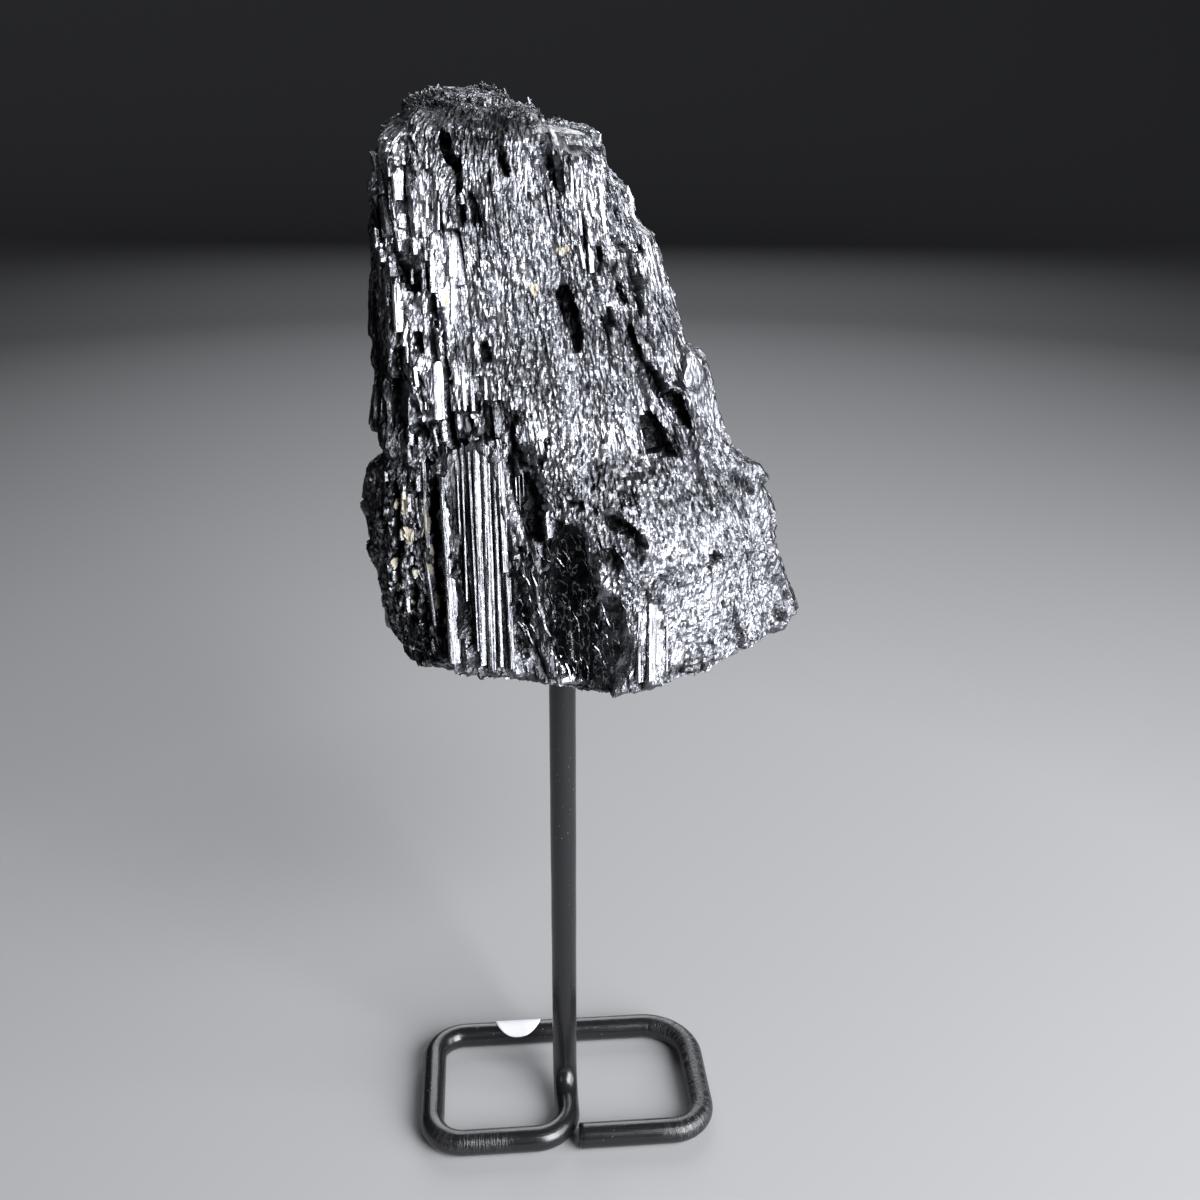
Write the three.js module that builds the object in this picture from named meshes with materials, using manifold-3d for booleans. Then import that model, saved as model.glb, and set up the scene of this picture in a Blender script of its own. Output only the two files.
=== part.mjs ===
// A rough black tourmaline specimen on a stand bent from one steel rod.
// Millimetres, +Z up. While it is being made, the stand's post is on the Z axis
// and the floor is z = 0. The finished group is then shifted so that the middle
// of its box stands over the origin.
//
// The stone is a bundle of intergrown crystals. Each crystal is a prism whose
// edges all aim away from one point high above the stone, so the bundle spreads
// out downward. A crystal is therefore described where it crosses the foot plane:
// by u and v there, its radius there, and the height at which it ends.

import * as THREE from "three";
import { mergeVertices } from "three/addons/utils/BufferGeometryUtils.js";
import Module from "manifold-3d";

// ---- driving dimensions ----

const rodRadius = 3;
const rodSides = 16;
const loopHalfWidth = 33.4; // to the rod's centre line
const loopHalfDepth = 18.5;
const bendRadius = 8;
const wideBendRadius = 12; // the corner at the back right
const bendSteps = 6; // stations on a quarter turn
const rodEndX = 2.4; // the sawn end, just clear of the bend beside it

const footPlane = 126; // height of the stone's underside
const fanPoint = new THREE.Vector3(-37, 4, 420);
const bundleMiddle = new THREE.Vector2(2, 6);
const boreDepth = 24;
const boreOverrun = 10; // how far the boring tool starts below the foot plane
const fitGap = 0.3; // between the rod and its bore

// How uneven the grown shapes are.
const sideUnevenness = 0.36; // of one side's share of a turn
const threeSidedness = 0.07; // tourmaline's sections bulge three times round
const radiusUnevenness = 0.08;
const lumpUnevenness = 0.2;
const footUnevenness = 2; // millimetres between the crystals' lower ends
const footSlope = -0.4; // a lower end slopes against the upper one by this share
const ridgeBedding = 0.55; // the share of its radius by which a ridge is sunk
const ridgeScatter = 8; // millimetres up or down from its level
const stoneSeed = 11;

// Rows of small ridges: the level of their feet, how many go round, usual length and radius.
const ridgeLevels = [
  { level: 128, count: 13, length: 15, size: 2.4 },
  { level: 142, count: 13, length: 15, size: 2.4 },
  { level: 156, count: 12, length: 15, size: 2.4 },
  { level: 172, count: 12, length: 15, size: 2.3 },
  { level: 188, count: 11, length: 15, size: 2.2 },
  { level: 203, count: 10, length: 14, size: 2.2 },
  { level: 216, count: 9, length: 12, size: 2.2 },
];

// More of them stand on the front, between these directions from the bundle's middle.
const frontStart = THREE.MathUtils.degToRad(215);
const frontEnd = THREE.MathUtils.degToRad(330);
const frontLevels = [
  { level: 176, count: 8, length: 8, size: 1.9 },
  { level: 186, count: 7, length: 8, size: 1.9 },
  { level: 197, count: 7, length: 8, size: 1.8 },
  { level: 208, count: 6, length: 8, size: 1.8 },
  { level: 220, count: 6, length: 8, size: 1.8 },
];

const dotRadius = 6; // the round paper label, folded over the back bar
const dotThickness = 0.35;
const dotLift = 0.38; // its clear gap to the rod
const dotX = -11.4;
const dotAngle = THREE.MathUtils.degToRad(50);
const dotRings = 5;
const dotRays = 20;

const colours = { stone: 0x1b1c20, steel: 0x141416, paper: 0xe9e9ee };

// ---- the stone's masses, outlined on the foot plane as u, v ----
// The first three are cut off at a sloping top: its middle height and its two slopes.

const upperMass = {
  corners: [
    [-31, 1], [-29.5, -6], [-25, -11], [-18, -14.2], [-6, -15.6], [9, -14.8], [16, -11],
    [16.5, 6], [12, 22], [-4, 26], [-22, 23], [-30, 12],
  ],
  high: 233.6,
  slopeX: 0.02,
  slopeY: 0.12,
};

const sideMass = {
  corners: [[-36.8, 3], [-34.5, -4.5], [-28, -10], [-20, -12], [-18, 10], [-26, 22], [-34, 15]],
  high: 221,
  slopeX: 0.5,
  slopeY: 0.1,
};

const secondMass = {
  corners: [[10, -12.6], [22, -12.2], [31, -8], [34, 3], [32, 13], [22, 20], [10, 21]],
  high: 230.6,
  slopeX: -0.08,
  slopeY: 0.12,
};

// The wide lower parts. Their levels are height, shift to the right, shift to the back and scale.
const lowerTop = 160; // ridges above this height are set on the upper masses only
const lowerMass = {
  corners: [
    [-36, 8], [-35, -2], [-25, -9], [-12, -14], [8, -19.5], [19, -18], [30, -12.5], [40.5, -4],
    [47.5, 6], [51.2, 15], [44, 23], [28, 27], [4, 28], [-22, 25],
  ],
  levels: [
    [124.6, -0.8, 0, 0.965],
    [128, 0, 0, 1],
    [152, -2.2, 0.4, 0.975],
    [163, -4.8, 0.8, 0.9],
    [177, -10, 1.2, 0.72],
  ],
};

const leftLobe = {
  corners: [[-40, 7], [-40.6, 0], [-36, -6.5], [-28.5, -9.6], [-22, -6], [-24, 14], [-35, 16]],
  levels: [
    [128.4, 1.8, 1, 0.8],
    [134, 1.4, 0.5, 0.9],
    [150, 0, 0, 1],
    [163, -0.2, 0, 1],
    [169.4, 1.2, 0.2, 0.84],
  ],
};

// ---- crystals: u, v, radius, end height, sides, slope to the right, slope to the back ----

const tallCrystals = [
  [-31, 3.5, 6.4, 227, 6, 0.6, 0.1],
  [-27, 13, 7.8, 232.6, 6, 0.4, 0.05],
  [-23.5, -5, 7.6, 233.8, 7, 0.3, 0.3],
  [-17, 9, 8.6, 238.2, 6, 0.12, 0.2],
  [-9, 14, 8, 239.4, 6, 0.02, 0.1],
  [-9.5, 3, 7.4, 238.6, 5, 0.05, 0.25],
  [-14.5, -8, 7.4, 235.6, 6, 0.1, 0.35],
  [-4, -8.6, 6.9, 235.8, 6, -0.05, 0.35],
  [1, 6, 8, 239.6, 6, -0.05, 0.15],
  [5.5, -7, 7.8, 234.6, 6, -0.15, 0.35],
  [9.5, 3, 7.8, 237, 5, -0.3, 0.15],
  [23.5, 5, 9.8, 232.8, 7, -0.05, 0.1],
  [16.5, -5, 7.2, 231.4, 6, -0.1, 0.3],
  [25, -4.4, 7, 229, 6, -0.15, 0.35],
  [29.8, 5, 8.8, 225.4, 6, -0.55, 0.1],
  [35, 4.5, 8.3, 217, 6, -0.55, 0.15],
  [31.5, -4, 6.8, 207, 5, -0.4, 0.35],
  [40.4, 8, 9.5, 192.5, 7, -0.5, 0.1],
  [38.8, 0, 7, 186, 5, -0.5, 0.3],
  [44.6, 8, 9.6, 171, 6, -0.7, 0.1],
  [-22, 20, 8.6, 224, 6, 0.1, -0.5],
  [-5, 21, 9.4, 230, 7, 0, -0.3],
  [12, 18, 9.8, 225, 6, -0.2, -0.3],
  [26, 17, 10, 210, 7, -0.4, -0.3],
  [38, 17, 8.6, 181, 6, -0.5, -0.3],
];

const lowCrystals = [
  [-33, 12, 6.4, 160, 6, 0.4, -0.2],
  [21, -9, 8.6, 172, 6, -0.15, 0.5],
  [45.4, 10, 8.2, 159, 7, -0.9, 0.1],
  [39, 2, 8, 166, 6, -0.7, 0.3],
  [7, -9.5, 8.4, 168, 6, 0, 0.7],
  [-12, 23, 8, 152, 6, 0, -0.8],
  [20, 22, 8.6, 160, 7, 0, -0.7],
  [38, 20, 7.5, 148, 6, -0.3, -0.8],
];

// The block of parallel prisms low on the left of the front: u, v, radius, end height.
const blockPrisms = [
  [-21.4, -12, 2.7, 174],
  [-18.8, -13.9, 2.5, 176.5],
  [-16.4, -14.8, 2.1, 176],
  [-14, -15.5, 2.4, 176.6],
  [-11.3, -15.6, 2.6, 174.4],
  [-8.8, -14.2, 2.2, 169],
];

// Long blades standing proud on the left of the front: u, v, radius, lower end, upper end.
const blades = [
  [-33, -5.4, 2.2, 194, 225],
  [-30.2, -9, 2.6, 188, 217],
  [-27.6, -11.2, 2.2, 200, 230],
  [-25, -12.6, 2.6, 178, 203],
  [-21.8, -13.8, 2, 182, 226],
  [-18.3, -14.9, 2.4, 192, 216],
  [-35.4, -1.5, 2.4, 176, 208],
];

// Rounded knobs: x, y, z, half width, half depth, half height.
const knobs = [
  [12.6, -14.6, 151, 5.8, 4.6, 7],
  [-33.4, -4.2, 147, 4.6, 3.6, 9],
  [-36.6, 2.6, 156, 4.2, 5, 7],
  [1.4, -11.4, 169, 6, 3.6, 7],
  [-20, 18.4, 186, 8, 4, 12],
];

// Hollows: x, y, z, half width, half depth, half height, lean in degrees.
const hollows = [
  [2.2, -20.2, 138, 7, 7.6, 21, 6],
  [16, 23.4, 196, 6, 6, 14, 12],
  [-14, 26.4, 158, 7, 6, 12, 4],
];

// Slots and cracks, in the same order of values.
const cracks = [
  [-6.4, -16, 166, 3.1, 6.4, 11, 8],
  [-25.2, -12.6, 155, 1.4, 5, 23, 2],
  [3, -11.4, 200, 1.8, 4, 8, 18],
  [8.3, -10.8, 200, 1.2, 3.4, 5.5, 12],
  [18.5, -12.6, 177, 4, 5.4, 4.4, 8],
  [18.3, -10, 186.5, 1.6, 3.6, 14, 27],
  [-28.3, -8.4, 209, 1.6, 3.6, 6.5, 28],
  [-24, -11.8, 191, 1.2, 4, 13, 5],
  [-4.4, -15.4, 171, 1.1, 3, 6, -12],
  [10.6, -17.6, 160.6, 1.7, 3.4, 8, 52],
  [-1.8, -7, 228, 1.2, 3.6, 8, 12],
  [-20, -8, 227, 1.1, 3.4, 6, 16],
];

// ---- shared helpers ----

const wasm = await Module();
wasm.setup();

// A repeatable stream of numbers from 0 to 1, by the usual 32-bit linear congruence.
function makeRandom(seed) {
  const range = 2 ** 32;
  let state = seed;
  return () => {
    state = (state * 1664525 + 1013904223) % range;
    return state / range;
  };
}

// A copy of a geometry with only positions, its equal corners merged.
function mergedCorners(geometry, tolerance) {
  const bare = geometry.clone();
  bare.deleteAttribute("normal");
  bare.deleteAttribute("uv");
  return mergeVertices(bare, tolerance);
}

function toSolid(geometry) {
  const merged = mergedCorners(geometry, 1e-4);
  const vertProperties = new Float32Array(merged.attributes.position.array);
  const triVerts = new Uint32Array(merged.index.array);
  return new wasm.Manifold(new wasm.Mesh({ numProp: 3, vertProperties, triVerts }));
}

function toGeometry(solid) {
  const mesh = solid.getMesh();
  const geometry = new THREE.BufferGeometry();
  geometry.setAttribute("position", new THREE.BufferAttribute(mesh.vertProperties, 3));
  geometry.setIndex(new THREE.BufferAttribute(mesh.triVerts, 1));
  geometry.computeVertexNormals();
  return geometry;
}

function makeMesh(name, geometry, colour, roughness, metalness) {
  const material = new THREE.MeshStandardMaterial({ color: colour, roughness, metalness });
  const mesh = new THREE.Mesh(geometry, material);
  mesh.name = name;
  return mesh;
}

// Moves every vertex of a geometry to where placeVertex sends it.
function bendVertices(geometry, placeVertex) {
  const position = geometry.attributes.position;
  const point = new THREE.Vector3();
  for (let i = 0; i < position.count; i += 1) {
    point.fromBufferAttribute(position, i);
    placeVertex(point);
    position.setXYZ(i, point.x, point.y, point.z);
  }
  return geometry;
}

// ---- the stone ----

// The place at height z of the crystal line that crosses the foot plane at (u, v).
function alongFan(u, v, z) {
  const nearness = (fanPoint.z - z) / (fanPoint.z - footPlane);
  const x = fanPoint.x + (u - fanPoint.x) * nearness;
  const y = fanPoint.y + (v - fanPoint.y) * nearness;
  return new THREE.Vector3(x, y, z);
}

// A crystal's section: a slightly three-cornered polygon with uneven sides.
function crystalSection(u, v, radius, sides, random) {
  const turn = random() * Math.PI * 2;
  const corners = [];
  for (let i = 0; i < sides; i += 1) {
    const angle = turn + ((i + sideUnevenness * (random() - 0.5)) / sides) * Math.PI * 2;
    const bulge = threeSidedness * Math.cos(3 * angle + turn);
    const swell = 1 + bulge + radiusUnevenness * (random() - 0.5);
    const reach = radius * swell;
    corners.push([u + reach * Math.cos(angle), v + reach * Math.sin(angle)]);
  }
  return corners;
}

function middleOf(corners) {
  const sum = corners.reduce(([u, v], corner) => [u + corner[0], v + corner[1]], [0, 0]);
  return sum.map((value) => value / corners.length);
}

function shapeOf(corners) {
  return new THREE.Shape(corners.map(([u, v]) => new THREE.Vector2(u, v)));
}

// A prism along the fan, from height low to height high, with both ends sloped.
function fanPrism({ corners, low, high, slopeX, slopeY }) {
  const [middleU, middleV] = middleOf(corners);
  const prism = new THREE.ExtrudeGeometry(shapeOf(corners), { depth: 1, bevelEnabled: false });
  return bendVertices(prism, (point) => {
    const rise = slopeX * (point.x - middleU) + slopeY * (point.y - middleV);
    const height = point.z > 0.5 ? high + rise : low + footSlope * rise;
    point.copy(alongFan(point.x, point.y, height));
  });
}

// An upright mass whose outline shifts and shrinks from level to level.
function steppedMass({ corners, levels }) {
  const [middleX, middleY] = middleOf(corners);
  const steps = levels.length - 1;
  const shape = shapeOf(corners);
  const mass = new THREE.ExtrudeGeometry(shape, { depth: steps, steps, bevelEnabled: false });
  return bendVertices(mass, (point) => {
    const [height, shiftX, shiftY, scale] = levels[Math.round(point.z)];
    const x = middleX + shiftX + (point.x - middleX) * scale;
    const y = middleY + shiftY + (point.y - middleY) * scale;
    point.set(x, y, height);
  });
}

function columnsFrom(rows, random) {
  return rows.map(([u, v, radius, high, sides, slopeX, slopeY]) => {
    const corners = crystalSection(u, v, radius, sides, random);
    const low = footPlane + footUnevenness * (random() - 0.3);
    return { corners, low, high, slopeX, slopeY };
  });
}

function blockFrom(rows, random) {
  return rows.map(([u, v, radius, high]) => {
    const corners = crystalSection(u, v, radius, 6, random);
    return { corners, low: footPlane + footUnevenness * random(), high, slopeX: 0.2, slopeY: 0.5 };
  });
}

function bladesFrom(rows, random) {
  return rows.map(([u, v, radius, low, high]) => {
    const corners = crystalSection(u, v, radius, 5, random);
    return { corners, low, high, slopeX: 0.6, slopeY: 0.8 };
  });
}

// Where a ray from the bundle's middle last leaves the outlines that reach a height.
function outerEdge(angle, height, outlines) {
  const ray = new THREE.Vector2(Math.cos(angle), Math.sin(angle));
  let farthest = 0;
  for (const { corners, high } of outlines) {
    if (high < height) continue;
    corners.forEach((corner, i) => {
      const next = corners[(i + 1) % corners.length];
      farthest = Math.max(farthest, crossing(ray, corner, next));
    });
  }
  return farthest;
}

// How far along a ray from the bundle's middle it meets the side from one corner to the next.
function crossing(ray, corner, next) {
  const start = new THREE.Vector2(...corner).sub(bundleMiddle);
  const side = new THREE.Vector2(...next).sub(bundleMiddle).sub(start);
  const spread = ray.cross(side);
  const along = start.cross(ray) / spread;
  if (along < 0 || along > 1) return 0;
  return start.cross(side) / spread;
}

// Small crystals bedded in the outside of the bundle, level by level, between two angles.
function ridgesOn(outlines, levels, startAngle, endAngle, random) {
  const ridges = [];
  for (const { level, count, length, size } of levels) {
    for (let i = 0; i < count; i += 1) {
      const angle = startAngle + ((i + random()) / count) * (endAngle - startAngle);
      const low = level + ridgeScatter * (random() - 0.5);
      const high = low + length * (0.5 + random());
      const radius = size * (0.7 + 0.6 * random());
      const slopeX = 1.2 * (random() - 0.5);
      const reach = outerEdge(angle, high + radius, outlines) - ridgeBedding * radius;
      if (reach > 0) {
        const u = bundleMiddle.x + reach * Math.cos(angle);
        const v = bundleMiddle.y + reach * Math.sin(angle);
        const corners = crystalSection(u, v, radius, 5, random);
        ridges.push({ corners, low, high, slopeX, slopeY: v < bundleMiddle.y ? 0.6 : -0.6 });
      }
    }
  }
  return ridges;
}

// A faceted lump: an icosahedron stretched to its three half sizes, its corners uneven.
function lump([x, y, z, halfWidth, halfDepth, halfHeight, lean = 0], detail, random) {
  const shape = mergedCorners(new THREE.IcosahedronGeometry(1, detail), 1e-3);
  shape.rotateZ(random() * Math.PI);
  bendVertices(shape, (point) => point.multiplyScalar(1 + lumpUnevenness * (random() - 0.6)));
  shape.scale(halfWidth, halfDepth, halfHeight);
  shape.rotateY(THREE.MathUtils.degToRad(-lean));
  shape.translate(x, y, z);
  return toSolid(shape);
}

// The radius of a rod-sided polygon's corners when its flats are the given distance out.
function cornerRadius(flatDistance) {
  return flatDistance / Math.cos(Math.PI / rodSides);
}

function makeBore() {
  const radius = cornerRadius(rodRadius + fitGap);
  const bore = new THREE.CylinderGeometry(radius, radius, boreDepth + boreOverrun, rodSides);
  bore.rotateX(Math.PI / 2);
  bore.rotateZ(Math.PI / rodSides);
  bore.translate(0, 0, footPlane + (boreDepth - boreOverrun) / 2);
  return toSolid(bore);
}

function makeStone() {
  const random = makeRandom(stoneSeed);
  const columns = columnsFrom([...tallCrystals, ...lowCrystals], random);
  const masses = [upperMass, sideMass, secondMass].map((mass) => ({ ...mass, low: footPlane + 1 }));
  const lowerParts = [lowerMass, leftLobe].map((mass) => ({ ...mass, high: lowerTop }));
  const outlines = [...columns, ...masses, ...lowerParts];
  const crystals = [
    ...columns,
    ...masses,
    ...blockFrom(blockPrisms, random),
    ...bladesFrom(blades, random),
    ...ridgesOn(outlines, ridgeLevels, 0, Math.PI * 2, random),
    ...ridgesOn(outlines, frontLevels, frontStart, frontEnd, random),
  ];
  const pieces = [
    ...crystals.map((crystal) => toSolid(fanPrism(crystal))),
    ...[lowerMass, leftLobe].map((mass) => toSolid(steppedMass(mass))),
    ...knobs.map((row) => lump(row, 1, random)),
  ];
  const cuts = [
    ...hollows.map((row) => lump(row, 1, random)),
    ...cracks.map((row) => lump(row, 0, random)),
    makeBore(),
  ];
  const joined = pieces.reduce((whole, piece) => whole.add(piece));
  return cuts.reduce((whole, cut) => whole.subtract(cut), joined);
}

// ---- the stand ----

// A rod route of straights and quarter bends. Each corner of the given polyline
// becomes an arc of its own radius, and stations lie only where the shape needs them.
class RodRoute extends THREE.Curve {
  constructor(corners, radii) {
    super();
    this.stations = [];
    this.addStation(corners[0], corners[1].clone().sub(corners[0]).normalize());
    for (let i = 1; i < corners.length - 1; i += 1) {
      this.addBend(corners[i - 1], corners[i], corners[i + 1], radii[i - 1]);
    }
    const last = corners[corners.length - 1];
    this.addStation(last, last.clone().sub(corners[corners.length - 2]).normalize());
  }

  addStation(place, heading) {
    this.stations.push({ place: place.clone(), heading: heading.clone() });
  }

  addBend(before, corner, after, radius) {
    const inward = corner.clone().sub(before).normalize();
    const outward = after.clone().sub(corner).normalize();
    const start = corner.clone().addScaledVector(inward, -radius);
    const centre = start.clone().addScaledVector(outward, radius);
    for (let step = 0; step <= bendSteps; step += 1) {
      const angle = ((Math.PI / 2) * step) / bendSteps;
      const place = centre.clone().addScaledVector(inward, radius * Math.sin(angle));
      place.addScaledVector(outward, -radius * Math.cos(angle));
      const heading = inward.clone().multiplyScalar(Math.cos(angle));
      heading.addScaledVector(outward, Math.sin(angle));
      this.addStation(place, heading);
    }
  }

  stationAt(portion) {
    return this.stations[Math.round(portion * (this.stations.length - 1))];
  }

  getPointAt(portion, target = new THREE.Vector3()) {
    return target.copy(this.stationAt(portion).place);
  }

  getTangentAt(portion, target = new THREE.Vector3()) {
    return target.copy(this.stationAt(portion).heading);
  }
}

function rodSection() {
  const radius = cornerRadius(rodRadius);
  const corners = [];
  for (let i = 0; i < rodSides; i += 1) {
    const angle = ((i + 0.5) / rodSides) * Math.PI * 2;
    corners.push(new THREE.Vector2(radius * Math.cos(angle), radius * Math.sin(angle)));
  }
  return new THREE.Shape(corners);
}

// The rod comes down out of the stone, runs forward along the floor, turns left,
// and goes once round the loop to its sawn end beside the first turn.
function makeStand() {
  const low = rodRadius;
  const postTop = footPlane + boreDepth - fitGap;
  const corners = [
    new THREE.Vector3(0, 0, postTop),
    new THREE.Vector3(0, 0, low),
    new THREE.Vector3(0, -loopHalfDepth, low),
    new THREE.Vector3(-loopHalfWidth, -loopHalfDepth, low),
    new THREE.Vector3(-loopHalfWidth, loopHalfDepth, low),
    new THREE.Vector3(loopHalfWidth, loopHalfDepth, low),
    new THREE.Vector3(loopHalfWidth, -loopHalfDepth, low),
    new THREE.Vector3(rodEndX, -loopHalfDepth, low),
  ];
  const radii = [bendRadius, bendRadius, bendRadius, bendRadius, wideBendRadius, bendRadius];
  const route = new RodRoute(corners, radii);
  return new THREE.ExtrudeGeometry(rodSection(), {
    steps: route.stations.length - 1,
    bevelEnabled: false,
    extrudePath: route,
  });
}

// ---- the paper label ----

// A flat round disc wrapped about the back bar: its width runs along the bar, and
// its height becomes an angle about the bar's centre line.
function makeDot() {
  const half = dotThickness / 2;
  const radii = Array.from({ length: dotRings + 1 }, (_, i) => (dotRadius * i) / dotRings);
  const lower = radii.map((radius) => new THREE.Vector2(radius, -half));
  const upper = radii.map((radius) => new THREE.Vector2(radius, half)).reverse();
  const disc = new THREE.LatheGeometry([...lower, ...upper], dotRays);
  const middle = cornerRadius(rodRadius) + dotLift + half;
  return bendVertices(disc, (point) => {
    const angle = dotAngle + point.z / middle;
    const reach = middle + point.y;
    const y = loopHalfDepth + reach * Math.cos(angle);
    point.set(dotX + point.x, y, rodRadius + reach * Math.sin(angle));
  });
}

// ---- the whole object ----

const group = new THREE.Group();
group.add(makeMesh("tourmaline", toGeometry(makeStone()), colours.stone, 0.3, 0.1));
group.add(makeMesh("stand", makeStand(), colours.steel, 0.35, 0.6));
group.add(makeMesh("paper_dot", makeDot(), colours.paper, 0.8, 0));

const box = new THREE.Box3().setFromObject(group);
const middle = box.getCenter(new THREE.Vector3());
group.position.set(-middle.x, -middle.y, -box.min.z);

export default group;
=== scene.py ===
import math

import bpy
import numpy as np
from mathutils import Matrix, Vector


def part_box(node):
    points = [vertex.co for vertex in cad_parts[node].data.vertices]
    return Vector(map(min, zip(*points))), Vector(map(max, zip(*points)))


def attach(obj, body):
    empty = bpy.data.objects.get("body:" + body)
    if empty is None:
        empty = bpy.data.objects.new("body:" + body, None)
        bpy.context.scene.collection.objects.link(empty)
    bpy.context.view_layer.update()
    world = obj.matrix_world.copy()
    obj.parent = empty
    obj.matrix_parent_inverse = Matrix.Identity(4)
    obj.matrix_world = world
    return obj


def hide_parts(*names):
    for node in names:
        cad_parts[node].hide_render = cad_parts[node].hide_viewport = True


# A rough black tourmaline on a stand bent from one rod.
# Shapes are worked out in millimetres from the point on the floor under the stand's post,
# x to the right, y to the back, and are moved into the frame when their mesh is made.

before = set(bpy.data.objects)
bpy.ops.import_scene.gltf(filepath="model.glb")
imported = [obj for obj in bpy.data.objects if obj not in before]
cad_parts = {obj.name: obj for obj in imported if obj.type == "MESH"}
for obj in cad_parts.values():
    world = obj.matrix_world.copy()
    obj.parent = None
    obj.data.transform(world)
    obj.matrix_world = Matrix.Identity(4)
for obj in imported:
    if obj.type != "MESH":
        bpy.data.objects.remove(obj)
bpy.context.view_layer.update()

mm = 0.001
standLow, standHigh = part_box("stand")
postX = (standLow[0] + standHigh[0]) / 2 / mm
postY = (standLow[1] + standHigh[1]) / 2 / mm


def labelNoise(salt, *labels):
    # A number from 0 to 1 for each whole-number label: the labels are mixed in one after
    # another by an exclusive-or, a multiplication and a shift.
    shape = np.broadcast(*labels).shape
    mixed = np.full(shape, (salt * 747796405 + 2891336453) % 4294967296, np.uint32)
    for label in labels:
        mixed = mixed ^ np.asarray(label, np.int64).astype(np.uint32)
        mixed = mixed * np.uint32(2246822519)
        mixed = mixed ^ (mixed >> np.uint32(13))
        mixed = mixed * np.uint32(3266489917)
        mixed = mixed ^ (mixed >> np.uint32(16))
    return mixed / 4294967296.0


def smoothNoise(salt, points, scale):
    # Soft lattice noise from -1 to 1: the random values at the eight corners of a cell of
    # the given size, blended by 3t^2 - 2t^3 along each axis.
    place = np.asarray(points) / scale
    cell = np.floor(place)
    part = place - cell
    part = part * part * (3 - 2 * part)
    total = 0
    for step in np.ndindex(2, 2, 2):
        corner = labelNoise(salt, *np.moveaxis(cell + step, -1, 0))
        weight = np.where(step, part, 1 - part)
        total = total + corner * weight[..., 0] * weight[..., 1] * weight[..., 2]
    return total * 2 - 1


def ease(value, start, end):
    # 0 before start, 1 after end and 3t^2 - 2t^3 between them.
    part = np.clip((value - start) / (end - start), 0, 1)
    return part * part * (3 - 2 * part)


def within(value, low, high, soft):
    # 1 between low and high, easing to 0 over a soft margin outside them.
    return ease(value, low - soft, low) * (1 - ease(value, high, high + soft))


def spread(values, low, high):
    # low where the value is 0 and high where it is 1.
    return low + (high - low) * values


def unit(vectors):
    # Each vector over its own length.
    return vectors / np.linalg.norm(vectors, axis=-1, keepdims=True).clip(1e-9)


def makePiece(name, points, faces, material, attributes=None, node=None, smooth=False):
    # A mesh from points in millimetres and a list of arrays of faces, with what the material
    # reads at each point, shown in the place of a CAD node.
    place = (np.asarray(points, float) + (postX, postY, 0)) * mm
    mesh = bpy.data.meshes.new(name)
    groups = [np.asarray(group, np.int32) for group in faces if len(group)]
    loops = np.concatenate([group.ravel() for group in groups])
    sizes = np.concatenate([np.full(len(group), group.shape[1], np.int32) for group in groups])
    starts = np.concatenate([[0], np.cumsum(sizes)[:-1]]).astype(np.int32)
    mesh.vertices.add(len(place))
    mesh.vertices.foreach_set("co", place.astype(np.float32).ravel())
    mesh.loops.add(len(loops))
    mesh.loops.foreach_set("vertex_index", loops)
    mesh.polygons.add(len(sizes))
    mesh.polygons.foreach_set("loop_start", starts)
    mesh.update(calc_edges=True)
    mesh.polygons.foreach_set("use_smooth", np.full(len(sizes), smooth))
    for label, values in (attributes or {}).items():
        values = np.asarray(values, np.float32)
        kind = "FLOAT" if values.ndim == 1 else "FLOAT_VECTOR"
        layer = mesh.attributes.new(label, kind, "POINT")
        layer.data.foreach_set("value" if values.ndim == 1 else "vector", values.ravel())
    mesh.materials.append(material)
    mesh.validate()
    piece = bpy.data.objects.new(name, mesh)
    bpy.context.collection.objects.link(piece)
    if node:
        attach(piece, "root")
        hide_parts(node)
    print("made", name, len(mesh.polygons), "faces")
    return piece


def gridFaces(rows, columns, wrap):
    # Quads between the rows and columns of a grid whose columns may close on themselves.
    down = np.arange(rows - 1)[:, None] * columns
    across = np.arange(columns if wrap else columns - 1)[None, :]
    nextAcross = (across + 1) % columns
    upper = down + columns
    return np.stack([down + across, down + nextAcross, upper + nextAcross, upper + across], -1).reshape(-1, 4)


def capFaces(ring, tip, turnedOver=False):
    # Triangles from each side of a ring of points to one tip.
    after = np.roll(ring, -1)
    first, second = (after, ring) if turnedOver else (ring, after)
    return np.stack([first, second, np.full(len(ring), tip)], -1)


def closedFaces(rows, columns):
    # A wrapped grid whose first and last rows are closed by the two points listed after it.
    ring, tip = np.arange(columns), rows * columns
    first, last = capFaces(ring, tip, True), capFaces(tip - columns + ring, tip + 1)
    return [gridFaces(rows, columns, True), first, last]


def tubeFaces(count, rows, around):
    # Walls, lower ends and upper ends of tubes listed one after another, each made of rows
    # of rings of points.
    first = np.arange(count)[:, None] * rows * around
    ring = np.arange(around)[None, :]
    walls = (first[..., None] + gridFaces(rows, around, True)).reshape(-1, 4)
    return [walls, first + ring[:, ::-1], first + (rows - 1) * around + ring]


cameraSetting = {
    "place": (-14.4, -257.8, 249.9),
    "turn": 5.02,  # degrees to the right of straight ahead
    "down": 23.57,
    "roll": 0.36,
    "lens": 39.285,
}


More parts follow.
